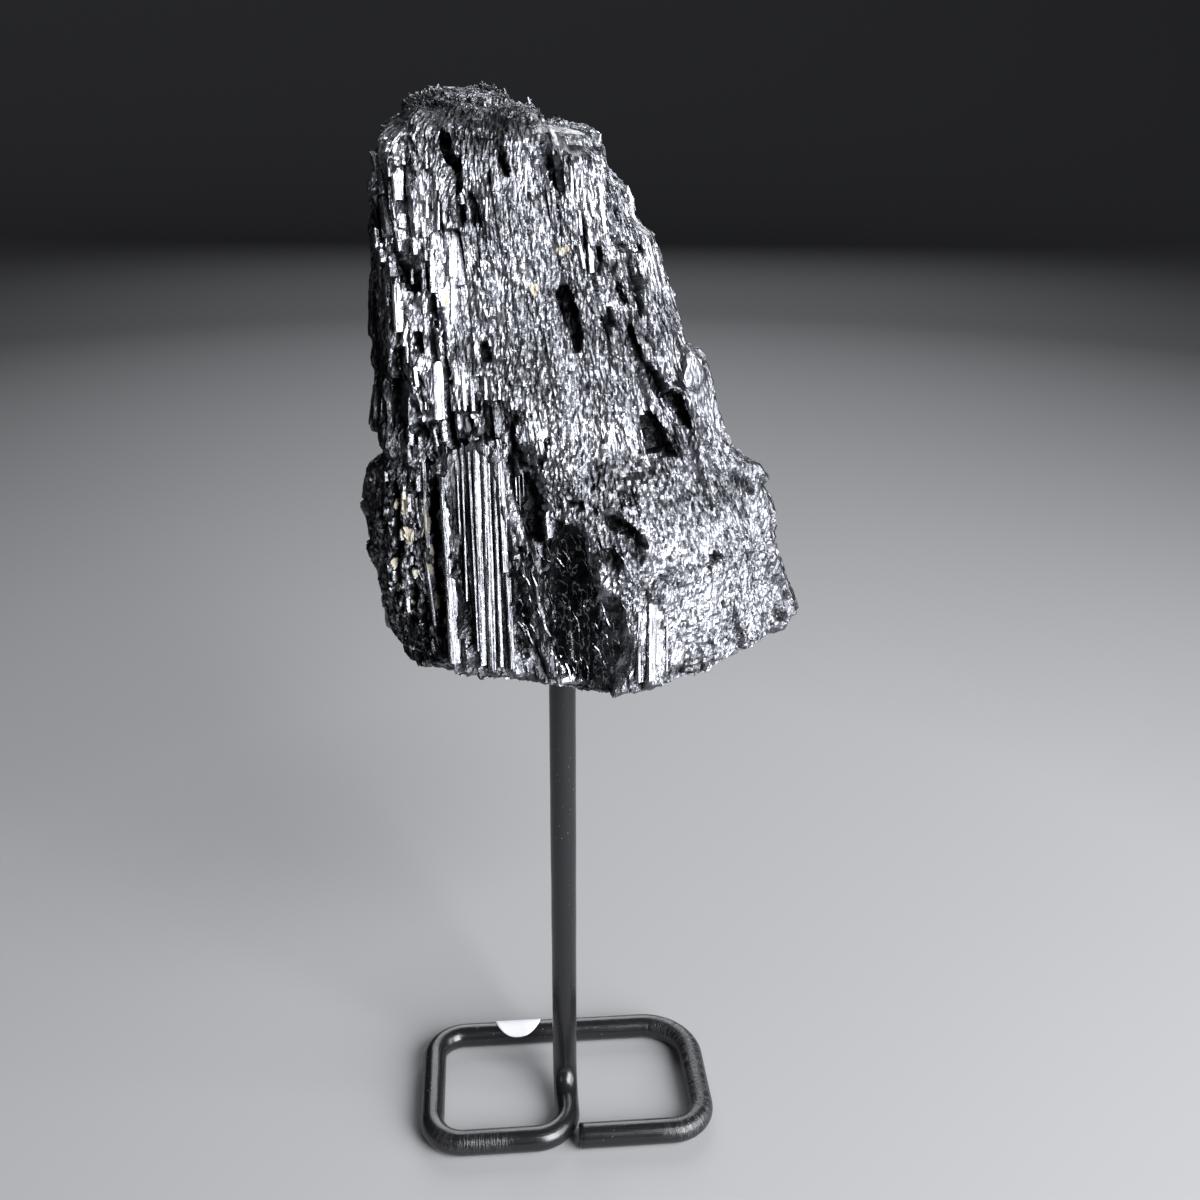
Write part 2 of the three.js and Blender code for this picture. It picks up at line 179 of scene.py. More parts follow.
def makeCamera():
    # The way ahead is turned from straight back and down; level and upright are rolled
    # about it into the picture's right and up.
    turn = math.radians(cameraSetting["turn"])
    down = math.radians(cameraSetting["down"])
    roll = math.radians(cameraSetting["roll"])
    ahead = Vector((math.sin(turn) * math.cos(down), math.cos(turn) * math.cos(down), -math.sin(down)))
    level = Vector((math.cos(turn), -math.sin(turn), 0))
    upright = level.cross(ahead)
    right = math.cos(roll) * level + math.sin(roll) * upright
    up = math.cos(roll) * upright - math.sin(roll) * level
    camera = bpy.data.objects.new("camera", bpy.data.cameras.new("camera"))
    camera.data.lens = cameraSetting["lens"]
    camera.data.sensor_width = 36
    camera.data.clip_start = 0.01
    axes = Matrix((right, up, -ahead)).transposed().to_4x4()
    x, y, z = cameraSetting["place"]
    camera.matrix_world = Matrix.Translation(((x + postX) * mm, (y + postY) * mm, z * mm)) @ axes
    bpy.context.collection.objects.link(camera)
    bpy.context.scene.camera = camera


makeCamera()


class Nodes:
    # Short ways to add and join the nodes of one material.
    def __init__(self, name):
        self.material = bpy.data.materials.new(name)
        self.material.use_nodes = True
        self.tree = self.material.node_tree
        self.shader = self.tree.nodes["Principled BSDF"]

    def add(self, kind, links=None, **values):
        node = self.tree.nodes.new(kind)
        for label, value in values.items():
            setattr(node, label, value)
        for socket, value in (links or {}).items():
            self.put(node.inputs[socket], value)
        return node

    def put(self, socket, value):
        if isinstance(value, bpy.types.NodeSocket):
            self.tree.links.new(value, socket)
        else:
            socket.default_value = value

    def math(self, operation, first, second=0.0, clamp=False):
        node = self.add("ShaderNodeMath", {0: first, 1: second}, operation=operation, use_clamp=clamp)
        return node.outputs[0]

    def ramp(self, value, low, high, start=0.0, end=1.0):
        links = {"Value": value, "From Min": low, "From Max": high, "To Min": start, "To Max": end}
        return self.add("ShaderNodeMapRange", links, clamp=True).outputs[0]

    def noise(self, vector, scale, detail=2.0, rough=0.5):
        links = {"Vector": vector, "Scale": scale, "Detail": detail, "Roughness": rough}
        return self.add("ShaderNodeTexNoise", links).outputs["Fac"]

    def cells(self, vector, scale, output="Color"):
        return self.add("ShaderNodeTexVoronoi", {"Vector": vector, "Scale": scale}).outputs[output]

    def mapped(self, vector, scale, turn=(0, 0, 0)):
        return self.add("ShaderNodeMapping", {"Vector": vector, "Scale": scale, "Rotation": turn}).outputs[0]

    def attribute(self, name, output="Fac"):
        return self.add("ShaderNodeAttribute", attribute_name=name).outputs[output]

    def scaled(self, vector, size):
        return self.add("ShaderNodeVectorMath", {0: vector, "Scale": size}, operation="SCALE").outputs[0]

    def vector(self, operation, first, second=(0.0, 0.0, 0.0)):
        return self.add("ShaderNodeVectorMath", {0: first, 1: second}, operation=operation).outputs[0]

    def mixColour(self, part, first, second):
        node = self.add("ShaderNodeMix", data_type="RGBA")
        self.put(node.inputs[0], part)
        self.put(node.inputs[6], first)
        self.put(node.inputs[7], second)
        return node.outputs[2]

    def bump(self, height, strength, distance, normal=None):
        links = {"Height": height, "Strength": strength, "Distance": distance}
        if normal:
            links["Normal"] = normal
        return self.add("ShaderNodeBump", links).outputs[0]


stoneLook = {
    "dull": (0.014, 0.0145, 0.016, 1),  # what a face gives back, from the gaps to the best faces
    "bright": (0.4, 0.405, 0.44, 1),
    "tan": (0.34, 0.29, 0.22, 1),
    "cream": (0.5, 0.47, 0.41, 1),
    "flecks": 2.6,  # per millimetre
    "chips": 5.2,
    "fleckTilt": 0.3,
    "chipTilt": (0.25, 0.34),  # on a smooth face and on a grainy one
    "creaseGlint": 0.75,  # how bright the painted highlight lines in the creases of the calm faces are
}


def makeStoneMaterial():
    # A submetallic black: each fleck and chip of the face tilts its own way, so one glints
    # and the next stays black. The tan and cream specks are dull.
    n = Nodes("blackTourmaline")
    fan = n.attribute("fan", "Vector")  # foot-plane place and height, millimetres
    grains, lustreAndPaintedLight, calm = n.add("ShaderNodeSeparateXYZ", {0: n.attribute("finishAndPaintedLight", "Vector")}).outputs
    streaks = n.mapped(fan, (1, 1, 0.09))
    flecks = n.cells(n.mapped(fan, (1, 1, 1.1)), stoneLook["flecks"])
    chips = n.cells(n.mapped(fan, (1, 1, 1.3)), stoneLook["chips"])
    lively = n.ramp(calm, 0, 1, 1.0, 0.15)
    normal = n.add("ShaderNodeNewGeometry").outputs["Normal"]
    chipTilt = n.ramp(grains, 0, 1, *stoneLook["chipTilt"])
    for cells, most in ((flecks, stoneLook["fleckTilt"]), (chips, chipTilt)):
        tilt = n.vector("SUBTRACT", cells, (0.5, 0.5, 0.5))
        normal = n.vector("ADD", normal, n.scaled(tilt, n.math("MULTIPLY", lively, most)))
    normal = n.vector("NORMALIZE", n.vector("ADD", normal, n.attribute("steps", "Vector")))
    lines = n.math("MULTIPLY", n.noise(streaks, 3.2, 3.0, 0.6), n.ramp(grains, 0, 1, 1, 0.04))
    normal = n.bump(lines, 0.5, 0.0002, normal)
    shade = n.add("ShaderNodeSeparateColor", {"Color": flecks}).outputs[0]
    # painted highlights: hair-thin bright lines where a soft noise passes its middle, on the calm faces only
    folds = n.noise(n.mapped(fan, (1, 1, 0.5), (0, 0.35, 0)), 0.42, 3.0, 0.55)
    creaseGlints = n.ramp(n.math("ABSOLUTE", n.math("SUBTRACT", folds, 0.5)), 0.004, 0.018, 1.0, 0.0)
    creaseGlints = n.math("MULTIPLY", creaseGlints, n.ramp(calm, 0.6, 1, 0, stoneLook["creaseGlint"]))
    gloom = n.math("MULTIPLY", n.ramp(shade, 0, 1, 1, 0), n.ramp(calm, 0, 1, 0.55, 0.1))
    # the shine read from the points carries painted shade in the gaps, cracks, hollows and sparse places and
    # painted light at the bright places
    shine = n.math("MULTIPLY", lustreAndPaintedLight, n.math("SUBTRACT", 1, gloom))
    shine = n.math("MAXIMUM", shine, creaseGlints)
    colour = n.mixColour(shine, stoneLook["dull"], stoneLook["bright"])
    speck = n.attribute("specks")
    speckNoise = n.noise(n.mapped(fan, (1, 1, 0.6)), 0.6, 4.0, 0.7)
    speckPart = n.ramp(n.math("MULTIPLY", speck, speckNoise), 0.24, 0.32)
    speckTint = n.mixColour(n.ramp(n.noise(fan, 0.35), 0.4, 0.6), stoneLook["tan"], stoneLook["cream"])
    n.put(n.shader.inputs["Base Color"], n.mixColour(speckPart, colour, speckTint))
    n.put(n.shader.inputs["Metallic"], n.ramp(speckPart, 0, 1, 1.0, 0.0))
    roughness = n.math("ADD", n.ramp(shade, 0, 1, 0.45, 0.3), n.math("MULTIPLY", speckPart, 0.35))
    roughness = n.math("ADD", roughness, n.math("MULTIPLY", grains, 0.06))
    n.put(n.shader.inputs["Roughness"], n.math("SUBTRACT", roughness, n.math("MULTIPLY", calm, 0.1)))
    n.put(n.shader.inputs["Normal"], normal)
    return n.material


stoneMaterial = makeStoneMaterial()

rodLook = {
    "coat": (0.008, 0.008, 0.009, 1),
    "scuff": (0.1, 0.1, 0.105, 1),
    "dust": (0.3, 0.3, 0.3, 1),
}


def makeRodMaterial():
    # A thin glossy black coat over drawn steel: slight orange peel, dust, and scuffs that
    # cross the rod where the "scuffs" attribute says.
    n = Nodes("blackCoat")
    place = n.add("ShaderNodeTexCoord").outputs["Object"]
    along = n.attribute("along", "Vector")  # round the rod, and millimetres along it
    peel = n.noise(place, 900, 3.0, 0.6)
    drawn = n.noise(n.mapped(along, (1.6, 0.06, 1)), 2.0, 3.0, 0.6)
    dust = n.ramp(n.cells(place, 700, "Distance"), 0.0, 0.13, 1.0, 0.0)
    dustPart = n.math("MULTIPLY", dust, n.ramp(n.noise(place, 60, 3.0), 0.52, 0.62))
    scratch = n.noise(n.mapped(along, (0.12, 1.4, 1)), 2.2, 4.0, 0.75)
    scuffPart = n.math("MULTIPLY", n.attribute("scuffs"), n.ramp(scratch, 0.5, 0.62))
    colour = n.mixColour(n.math("MULTIPLY", scuffPart, 0.5), rodLook["coat"], rodLook["scuff"])
    colour = n.mixColour(n.math("MULTIPLY", dustPart, 0.6), colour, rodLook["dust"])
    n.put(n.shader.inputs["Base Color"], colour)
    roughness = n.ramp(drawn, 0.3, 0.7, 0.17, 0.3)
    n.put(n.shader.inputs["Roughness"], n.math("ADD", roughness, n.math("MULTIPLY", dustPart, 0.3)))
    height = n.math("ADD", n.math("MULTIPLY", peel, 0.6), n.math("MULTIPLY", drawn, 0.5))
    height = n.math("ADD", height, n.math("MULTIPLY", scuffPart, 0.8))
    n.put(n.shader.inputs["Normal"], n.bump(height, 0.35, 0.0002))
    n.put(n.shader.inputs["IOR"], 1.55)
    return n.material


paperLook = {
    "cloudy": (0.74, 0.75, 0.78, 1),
    "clear": (0.8, 0.8, 0.82, 1),
    "fibre": (0.68, 0.69, 0.72, 1),
    "roughness": 0.75,
}


def makePaperMaterial():
    # Plain white paper, a little cloudy, with faint fibres in its colour and its surface.
    n = Nodes("whitePaper")
    place = n.add("ShaderNodeTexCoord").outputs["Object"]
    fibres = n.noise(place, 1800, 4.0, 0.7)
    clouds = n.noise(place, 300, 2.0)
    tint = n.mixColour(n.ramp(clouds, 0.3, 0.7), paperLook["cloudy"], paperLook["clear"])
    tint = n.mixColour(n.ramp(fibres, 0.3, 0.7, 0, 0.4), tint, paperLook["fibre"])
    n.put(n.shader.inputs["Base Color"], tint)
    n.put(n.shader.inputs["Roughness"], paperLook["roughness"])
    n.put(n.shader.inputs["Normal"], n.bump(fibres, 0.3, 0.0001))
    return n.material


rodMaterial = makeRodMaterial()
paperMaterial = makePaperMaterial()

fanTop = np.array([-37.0, 4.0, 420.0])  # every crystal's axis aims away from here
footPlane = 126.0  # the height at which the crystals' places in the fan are counted
boreRadius = 3.3
boreTop = 149.8
stoneGrowth = np.array([0, 0, 0.1])  # how far the fine steps of every face make it look up

skin = {
    "around": 440,  # points round the stone and up it
    "up": 222,
    # height, left, right, front, back of the loose shell that is drawn in onto the stone
    "shell": np.array([
        [116, -42, 56, -24, 33],
        [150, -45, 55, -23, 32],
        [168, -44, 46, -20, 30],
        [195, -41, 33, -16, 28],
        [220, -40, 23, -13, 25],
        [248, -36, 14, -11, 22],
    ]),
    "roundness": 2.6,  # powers of the shell's outline in the plan and of its side view
    "capSharpness": 7.0,
    "usual": (48, 27, 40, 64),  # half its width and depth, mean reach and half height, for spacing
    "frontShare": 0.5,  # how much closer the points stand on the front
    "footShare": 0.55,  # and how much wider underneath
    # crystals of two sizes and the grains between them stand in and out of the skin: width,
    # usual length, rise, depth and width of the gap round each, and how far each may lean
    "columns": (5.6, 40, 0.8, 0.6, 0.4, 0.08),
    "laths": (2.3, 9, 0.6, 0.4, 0.3, 0.12),
    "grains": (1.0, 0.8, 0.26, 0.2, 0.18, 0.22),
    "turns": (0.2, 0.3, 0.55),  # how far the faces of columns, laths and grains turn the crystals' way
    "fade": (0.8, 0.92),  # how much lower columns and laths are where the stone is grainy
    "evenFade": (0.7, 0.4),  # and where it is aligned
    "blockDepth": 1.2,  # the hollow behind the block of clean crystals
    "shadedHollow": (0.05, 0.5),  # how far below its neighbourhood a place starts to take painted shade and is painted black
}

# Degrees: the turn of the front's own faces, how far round to the left they still show,
# their tilt up and how much they differ.
crystalWay = {"turn": -70, "leftmost": -126, "rise": 8, "scatter": 11}
faceRise = math.tan(math.radians(crystalWay["rise"]))

# Places on the stone's front: x, z, half width, half height, lean in degrees, strength.
grainPlaces = [
    (33, 151, 19, 30, 8, 1.0),
    (6, 166, 16, 11, 0, 0.9),
    (2, 196, 21, 20, 8, 1.0),
    (0, 220, 22, 12, 8, 0.6),
    (-29, 206, 8, 36, 4, 0.65),
    (28.6, 182, 3.6, 11, 16, 1.0),
    (6, 232, 9, 5, 0, 1.0),
    (-6, 234, 30, 7, 0, 1.0),
    (12, 151, 7, 8, 0, 0.9),
    (-33, 150, 8, 26, -4, 0.8),
]
smoothPlaces = [
    (1.2, 151, 4.2, 10, -8, 1.0),
    (3.5, 144, 4.4, 9, -4, 1.0),
    (5, 134, 9.0, 12, 0, 1.0),
    (-5, 142, 3.4, 13, 8, 0.85),
    (17.2, 135, 2.8, 9.5, 0, 0.95),
    (-5.2, 174.8, 2.6, 4, 0, 0.7),
    (17.4, 210, 1.8, 9, 12, 0.8),
    (28.6, 182, 3.4, 10, 16, 0.6),
]
blockPlaces = [(-16.4, 152, 6.6, 25, 5, 1.0)]
# Flat faces the front is brought to: x, z, half width, half height, lean, then y at the
# middle and how fast y grows with x and with z.
facetPlaces = [
    (1.5, 149.5, 4.6, 11.5, -6, -14.2, -0.28, 0.02),
    (5.2, 134, 8.8, 12, 0, -15.7, -0.30, 0.0),
    (17.4, 135, 3.2, 10, 0, -18.2, 0.28, 0.12),
    (-16.4, 153, 7.5, 26, 5, -15.4, 0.0, 0.14),
    (28.6, 182, 3.2, 9, 16, -0.2, 1.1, 0.25),
]
# Gentle pushes on the outline: x, z, reach across, reach up, then the move across and up.
outlinePushes = [
    (-38, 217, 6, 13, 0.9, 0),
    (-38, 171.5, 3, 3, 1.4, 0),
    (-41, 143, 6, 14, 0.9, 0.2),
    (-36, 129, 8, 8, 0.6, 1.0),
    (-16, 127, 11, 8, 0, 1.3),
    (9, 124, 13, 9, 0, -1.7),
    (48, 157, 8, 9, 1.8, 0),
    (26, 196, 4, 4, 1.2, 1.6),
    (34, 178, 5, 6, -0.7, 0),
    (-16, 241, 12, 5, 0, -0.9),
]
pitPlaces = [
    (-27.2, 180.5, 1.8, 5, 0, 1.2),
    (-9.8, 179.6, 2.2, 2.4, 0, 1.0),
    (32, 150, 1.0, 1.6, 20, 1.4),
    (40, 161, 0.9, 1.8, 20, 1.2),
]
# Gaps of the front, cut in and painted black as shade: how deep one is cut, the share of the shine that its
# painted shade takes, and its corners x, z in turn.
gapShapes = [
    (0.7, 1.0, [
        (-2.5, 161.5), (0, 160.5), (2.4, 159), (3.7, 157.3), (4.0, 153.5), (5.1, 148.8), (6.3, 143.9),
        (6.9, 140.4), (7.8, 137.6), (6.2, 134.5), (6.6, 130.1), (4, 125), (-1.4, 126.5), (-2.2, 132.2),
        (-3.4, 136.7), (-3.5, 142.2), (-3.6, 148.7), (-3.4, 152.9), (-3.1, 157),
    ]),
    (0.3, 0.86, [
        (6.4, 144), (9, 145), (11.3, 143.9), (11.7, 139.4), (11.6, 133.9), (9.9, 129.6), (9.2, 123),
        (2, 123), (6.6, 130), (6.2, 134.5), (7.8, 137.6),
    ]),
    (0.2, 0.8, [
        (-7.5, 157), (-3.1, 157), (-3.4, 150), (-3.5, 142), (-3.4, 136.7), (-2.2, 132), (-1, 125),
        (-6.5, 125), (-7.2, 135.5), (-7.9, 144), (-8.6, 148.3),
    ]),
    (1.0, 0.95, [
        (-10.5, 152.5), (-8.6, 148.3), (-7.9, 144), (-7.2, 135.5), (-7.9, 130.7), (-9.5, 133.3),
        (-10.4, 140.1), (-10.6, 146.4),
    ]),
    (2.2, 1.0, [
        (-11.5, 173.3), (-9.4, 173.1), (-8.8, 169.5), (-6.9, 168.6), (-4.8, 164.7), (-4.9, 160.2),
        (-4.7, 157), (-7.9, 157.1), (-8.7, 161.6), (-10.2, 166.5),
    ]),
    (1.1, 0.9, [(7.2, 155.2), (9.8, 155.8), (11.1, 153.3), (10.6, 151), (8.2, 151.2)]),
    (0.9, 0.75, [(11.4, 157.2), (14.7, 157), (15.8, 154), (14.9, 152.2), (12.6, 154.6)]),
    (1.8, 1.0, [
        (-21.1, 157), (-19.8, 153.5), (-19.3, 146), (-18.9, 140), (-18.7, 134.6), (-20.3, 134.7),
        (-20.6, 144.3), (-20.9, 150),
    ]),
    (2.2, 1.0, [
        (8.4, 161.9), (10.4, 160.6), (12.6, 160), (14.9, 157.7), (16.8, 155), (14.5, 156.4), (12.9, 158),
        (11.7, 158.4), (9.5, 159), (8.3, 160.4),
    ]),
    (1.2, 0.85, [
        (8.3, 225.5), (9.4, 225.3), (10.2, 217), (11, 213.5), (13, 212), (14.6, 206), (16.1, 200.6),
        (15.3, 199.6), (13.4, 203.8), (11.5, 211), (9.4, 213.3), (8.8, 218),
    ]),
    (2.4, 1.0, [
        (-31.3, 212.3), (-29.8, 211.6), (-28.3, 208.6), (-26.9, 205.2), (-27.8, 204.4), (-29.4, 206.6),
        (-31, 209.8),
    ]),
    (2.0, 1.0, [(-24.9, 204.5), (-23.9, 204.6), (-23.3, 199), (-24.2, 198.7)]),
    (2.2, 1.0, [(-22.9, 192.5), (-21.8, 192.3), (-21.2, 181), (-22.3, 180.8)]),
    (1.4, 0.95, [
        (-31.8, 194.5), (-30.6, 194), (-30.2, 189), (-30.5, 183), (-30.7, 177.2), (-33.6, 177.2),
        (-32.8, 186),
    ]),
    (1.6, 0.95, [(-28.2, 198), (-27.2, 198.2), (-26.3, 194.5), (-26.9, 193.2), (-27.7, 195)]),
    (1.2, 0.85, [
        (-28.4, 189.5), (-27.3, 189.5), (-27, 186), (-27.1, 178), (-29, 176.3), (-29.5, 183),
    ]),
    (1.6, 1.0, [(-22.6, 180.7), (-21.8, 181), (-20.9, 176.8), (-22.2, 176.2)]),
    (2.4, 1.0, [
        (-21.7, 233.1), (-20.5, 232.7), (-20, 231.5), (-20.9, 229.5), (-20.2, 228.3), (-18.2, 228.3),
        (-18, 226.4), (-20.3, 225.9), (-20.9, 227.5), (-21.7, 229.7),
    ]),
    (1.3, 0.9, [(-11.8, 231.5), (-10.7, 230.8), (-9.8, 227.2), (-10, 225.6), (-11.2, 228)]),
    (1.3, 0.9, [(-18.9, 221), (-18.3, 221), (-17.8, 218.4), (-18.3, 217.5), (-19.1, 219.1)]),
    (1.3, 0.9, [(-17.2, 222.3), (-16.3, 222.3), (-15, 218.6), (-14.9, 216.7), (-16.3, 217.3)]),
    (0.9, 0.8, [(-13.5, 226), (-12.2, 225.8), (-12.6, 224.1), (-13.4, 224.1)]),
    (0.3, 0.75, [(-13.8, 235.8), (-10.8, 235.6), (-9.3, 233), (-10.3, 231.2), (-13.4, 232)]),
    (1.2, 1.0, [
        (-3.6, 231.2), (-2.6, 231.4), (-1.6, 227.5), (-0.6, 223.6), (-1, 222.4), (-2, 224.8), (-3.1, 228.2),
    ]),
    (3.0, 1.0, [
        (-0.6, 205.2), (1.1, 205.2), (2.2, 202.7), (3, 200.5), (3.9, 195.2), (3.6, 193), (2.5, 193),
        (1.7, 196.2), (0.4, 199.5), (-0.4, 201.9),
    ]),
    (2.0, 0.95, [
        (9, 201.3), (9.7, 200.3), (10.1, 197.8), (9.2, 197.2), (9, 194.8), (7.9, 197.1), (7.5, 199),
        (8.6, 199.4),
    ]),
    (2.4, 1.0, [
        (12.7, 197.2), (13.8, 196.8), (14.6, 193.9), (16.4, 191.3), (16.1, 190), (14.7, 190.2), (13.7, 193.7),
    ]),
    (2.6, 1.0, [
        (15.1, 190.7), (17.1, 190.2), (19, 187.6), (20.9, 185.1), (23.6, 182.6), (24.9, 180.3), (25.9, 176.3),
        (24.1, 177.3), (22.9, 180.4), (20.3, 182.7), (18.1, 184.7), (16.4, 187.8),
    ]),
    (3.0, 1.0, [
        (15.3, 179.3), (18.2, 180.1), (20, 177.4), (21.4, 174.6), (23, 171.2), (21, 171.3), (18.8, 172.6),
        (16.5, 172.6), (16.2, 175.8),
    ]),
    (1.6, 0.95, [(14.1, 205.6), (15.3, 204.5), (16.2, 200.6), (15.3, 199.3), (14.3, 202.3)]),
    (1.8, 1.0, [(-15.7, 195.4), (-14.5, 195.4), (-13.2, 192), (-15.2, 191.9)]),
    (2.4, 1.0, [(-10.8, 180.2), (-9.9, 179.6), (-8.9, 173.6), (-10.5, 174)]),
    (0.8, 0.8, [(-15.6, 183.7), (-12.2, 183.6), (-11.2, 178.8), (-13.3, 175.5), (-15.2, 178.9)]),
    (1.2, 0.9, [(-19.6, 181.5), (-17.4, 181.7), (-16.7, 178), (-19.4, 177.4)]),
]
# Painted shade: where only some of the flakes shine, the strength being the share that stays black.
sparseShadePlaces = [
    (-30, 148, 6.5, 24, -4, 0.42),
    (-38, 150, 4.6, 22, -4, 0.74),
    (-32, 132, 9, 7, 0, 0.8),
    (-35.5, 195, 2.0, 28, 0, 0.9),
    (-22.5, 178, 5, 3, 0, 0.6),
    (-8, 184, 6, 5, 0, 0.35),
    (-12, 235, 10, 4, 0, 0.35),
    (12, 168, 9, 6, 0, 0.3),
]
# Where the skin is all fine steps that look the crystals' way, whichever way it runs.
alignedPlaces = [
    (-29, 206, 10, 38, 4, 1.0),
    (-30, 150, 9, 26, -4, 0.6),
]
# Where a flake either shines or stays black, with little between.
starkPlaces = [
    (-31, 150, 10, 26, -4, 1.0),
    (-27, 208, 9, 34, 4, 0.8),
    (-20, 184, 9, 9, 0, 0.8),
    (3, 220, 8, 14, 10, 0.5),
]
# Painted light: places where the shine is raised and more of the flakes shine.
paintedLightPlaces = [
    (-29, 209, 10, 28, 4, 1.0),
    (33, 151, 19, 28, 8, 0.2),
    (8, 222, 7, 14, 12, 0.9),
    (-24, 184, 8, 8, 0, 0.6),
    (2, 192, 23, 27, 8, 0.55),
    (-13, 228, 17, 8, 0, 0.55),
]
speckPlaces = [
    (-32.1, 155.4, 1.5, 2.2, 0, 1.0),
    (-33.5, 162, 0.6, 0.9, 0, 0.9),
    (-31.5, 163, 1.0, 2.8, 0, 0.9),
    (-27.6, 158.3, 0.9, 1.9, 0, 1.0),
    (-26.9, 153, 0.6, 1.4, 0, 0.9),
    (-34.2, 149.8, 0.5, 1.8, 0, 0.9),
    (-30.4, 147.7, 1.0, 1.1, 0, 1.0),
    (-27.5, 148.7, 1.2, 1.4, 0, 1.0),
    (-26.4, 141.7, 0.8, 1.6, 0, 0.8),
    (-31.2, 140.8, 0.6, 1.1, 0, 0.8),
    (-34.2, 143.3, 0.4, 1.5, 0, 0.8),
    (-31.8, 138, 0.5, 1.4, 0, 0.7),
    (-27.5, 162.2, 0.6, 0.8, 0, 1.0),
    (-38.6, 166, 0.5, 0.5, 0, 0.9),
    (0.3, 212.1, 1.6, 0.7, -35, 1.0),
    (-5.6, 205, 1.0, 1.4, 20, 0.75),
    (-22, 203.5, 0.5, 2.6, 0, 0.7),
]
crackLines = [
    # points x, z along the crack, then its half width and depth
    ([(-8.5, 181.7), (-9.7, 180.4), (-10.1, 178.5), (-10, 175.9), (-9.1, 173.6), (-7.9, 171.7)], 0.45, 2.0),
    ([(-7.9, 171.7), (-6.3, 170.9), (-4.6, 171.5), (-3.6, 173.6), (-3.2, 175.5), (-2.4, 176.4)], 0.4, 2.0),
    ([(-1.1, 164.5), (3.8, 163.8), (8.4, 161.6)], 0.35, 1.4),
    ([(9.6, 210.7), (10.8, 206), (12.2, 200.3)], 0.35, 1.8),
    ([(6.3, 212.2), (7.2, 206.8)], 0.3, 1.6),
    ([(-24.3, 212.6), (-24.7, 205)], 0.3, 1.8),
    ([(-22.9, 202.5), (-22.3, 194)], 0.3, 1.8),
    ([(-11.3, 228.9), (-10.1, 225)], 0.4, 1.6),
    ([(-17.6, 222.1), (-18.5, 217.3)], 0.3, 1.5),
    ([(-16.6, 209.5), (-15.2, 206.7)], 0.45, 2.0),
    ([(-27.2, 169), (-26, 173), (-22.3, 176.2), (-14.3, 177.6), (-11, 175)], 0.4, 1.6),
    ([(-33.1, 167), (-34.3, 141)], 0.6, 2.0),
    ([(-30.6, 152), (-30.9, 136)], 0.5, 1.8),
    ([(-28.9, 143), (-28.7, 131)], 0.45, 1.6),
    ([(-36.3, 164), (-36.6, 150)], 0.45, 1.6),
    ([(-29.4, 168), (-29.2, 157)], 0.4, 1.6),
    ([(-25.9, 170), (-25.7, 150), (-25.5, 133)], 0.5, 2.2),
    ([(-32, 176.5), (-28, 175)], 0.5, 1.5),
]


def toFan(points):
    # Where the crystal line through each point crosses the foot plane, and the point's height.
    stretch = (fanTop[2] - footPlane) / (fanTop[2] - points[..., 2])
    u = fanTop[0] + (points[..., 0] - fanTop[0]) * stretch
    v = fanTop[1] + (points[..., 1] - fanTop[1]) * stretch
    return np.stack([u, v, points[..., 2]], -1)


def fromFan(fan):
    # The other way: back from the foot plane along the crystal line to the point's height.
    shrink = (fanTop[2] - fan[..., 2]) / (fanTop[2] - footPlane)
    x = fanTop[0] + (fan[..., 0] - fanTop[0]) * shrink
    y = fanTop[1] + (fan[..., 1] - fanTop[1]) * shrink
    return np.stack([x, y, fan[..., 2]], -1)


def evenly(points, weight, count):
    # Positions along a line of points that cut its weighted length into equal parts.
    steps = np.linalg.norm(np.diff(points, axis=0), axis=1) * weight
    length = np.concatenate([[0], np.cumsum(steps)])
    return np.interp(np.linspace(0, length[-1], count), length, np.arange(len(length)))


def shellPoints():
    # A rounded box lofted through the shell's rows: around goes by a superellipse, and up by
    # a second one that closes the top and the bottom.
    rows = skin["shell"]
    halfWidth, halfDepth, reach, halfHeight = skin["usual"]
    dense = 2000
    angle = np.linspace(0, 2 * np.pi, dense + 1)
    power = 2 / skin["roundness"]
    outline = np.stack([
        np.sign(np.cos(angle)) * np.abs(np.cos(angle)) ** power * halfWidth,
        np.sign(np.sin(angle)) * np.abs(np.sin(angle)) ** power * halfDepth,
    ], -1)
    towardsFront = ease(-outline[:-1, 1], -10, 10)
    pick = evenly(outline, 1 + skin["frontShare"] * towardsFront, skin["around"] + 1)[:-1]
    around = np.stack([np.interp(pick, np.arange(dense + 1), outline[:, k]) for k in (0, 1)], -1)
    around = around / (halfWidth, halfDepth)
    rise = np.linspace(-np.pi / 2, np.pi / 2, dense + 1)
    capPower = 2 / skin["capSharpness"]
    inward = np.cos(rise).clip(0) ** capPower
    upward = np.sign(np.sin(rise)) * np.abs(np.sin(rise)) ** capPower
    meridian = np.stack([inward * reach, upward * halfHeight], -1)
    underneath = ease(-meridian[:-1, 1], 50, 62)
    pick = evenly(meridian, 1 - skin["footShare"] * underneath, skin["up"] + 2)[1:-1]
    inward = np.interp(pick, np.arange(dense + 1), inward)
    upward = np.interp(pick, np.arange(dense + 1), upward)
    height = (rows[0, 0] + rows[-1, 0]) / 2 + upward * (rows[-1, 0] - rows[0, 0]) / 2
    left, right, front, back = [np.interp(height, rows[:, 0], rows[:, k]) for k in (1, 2, 3, 4)]
    middleX, middleY = (left + right) / 2, (front + back) / 2
    lower = ease(-upward, 0.3, 1)  # the bottom's middle is the bore
    middleX = middleX * (1 - lower * (1 - inward))
    middleY = middleY * (1 - lower * (1 - inward))
    x = middleX[:, None] + (right - left)[:, None] / 2 * inward[:, None] * around[None, :, 0]
    y = middleY[:, None] + (back - front)[:, None] / 2 * inward[:, None] * around[None, :, 1]
    z = np.broadcast_to(height[:, None], x.shape)
    return np.stack([x, y, z], -1)


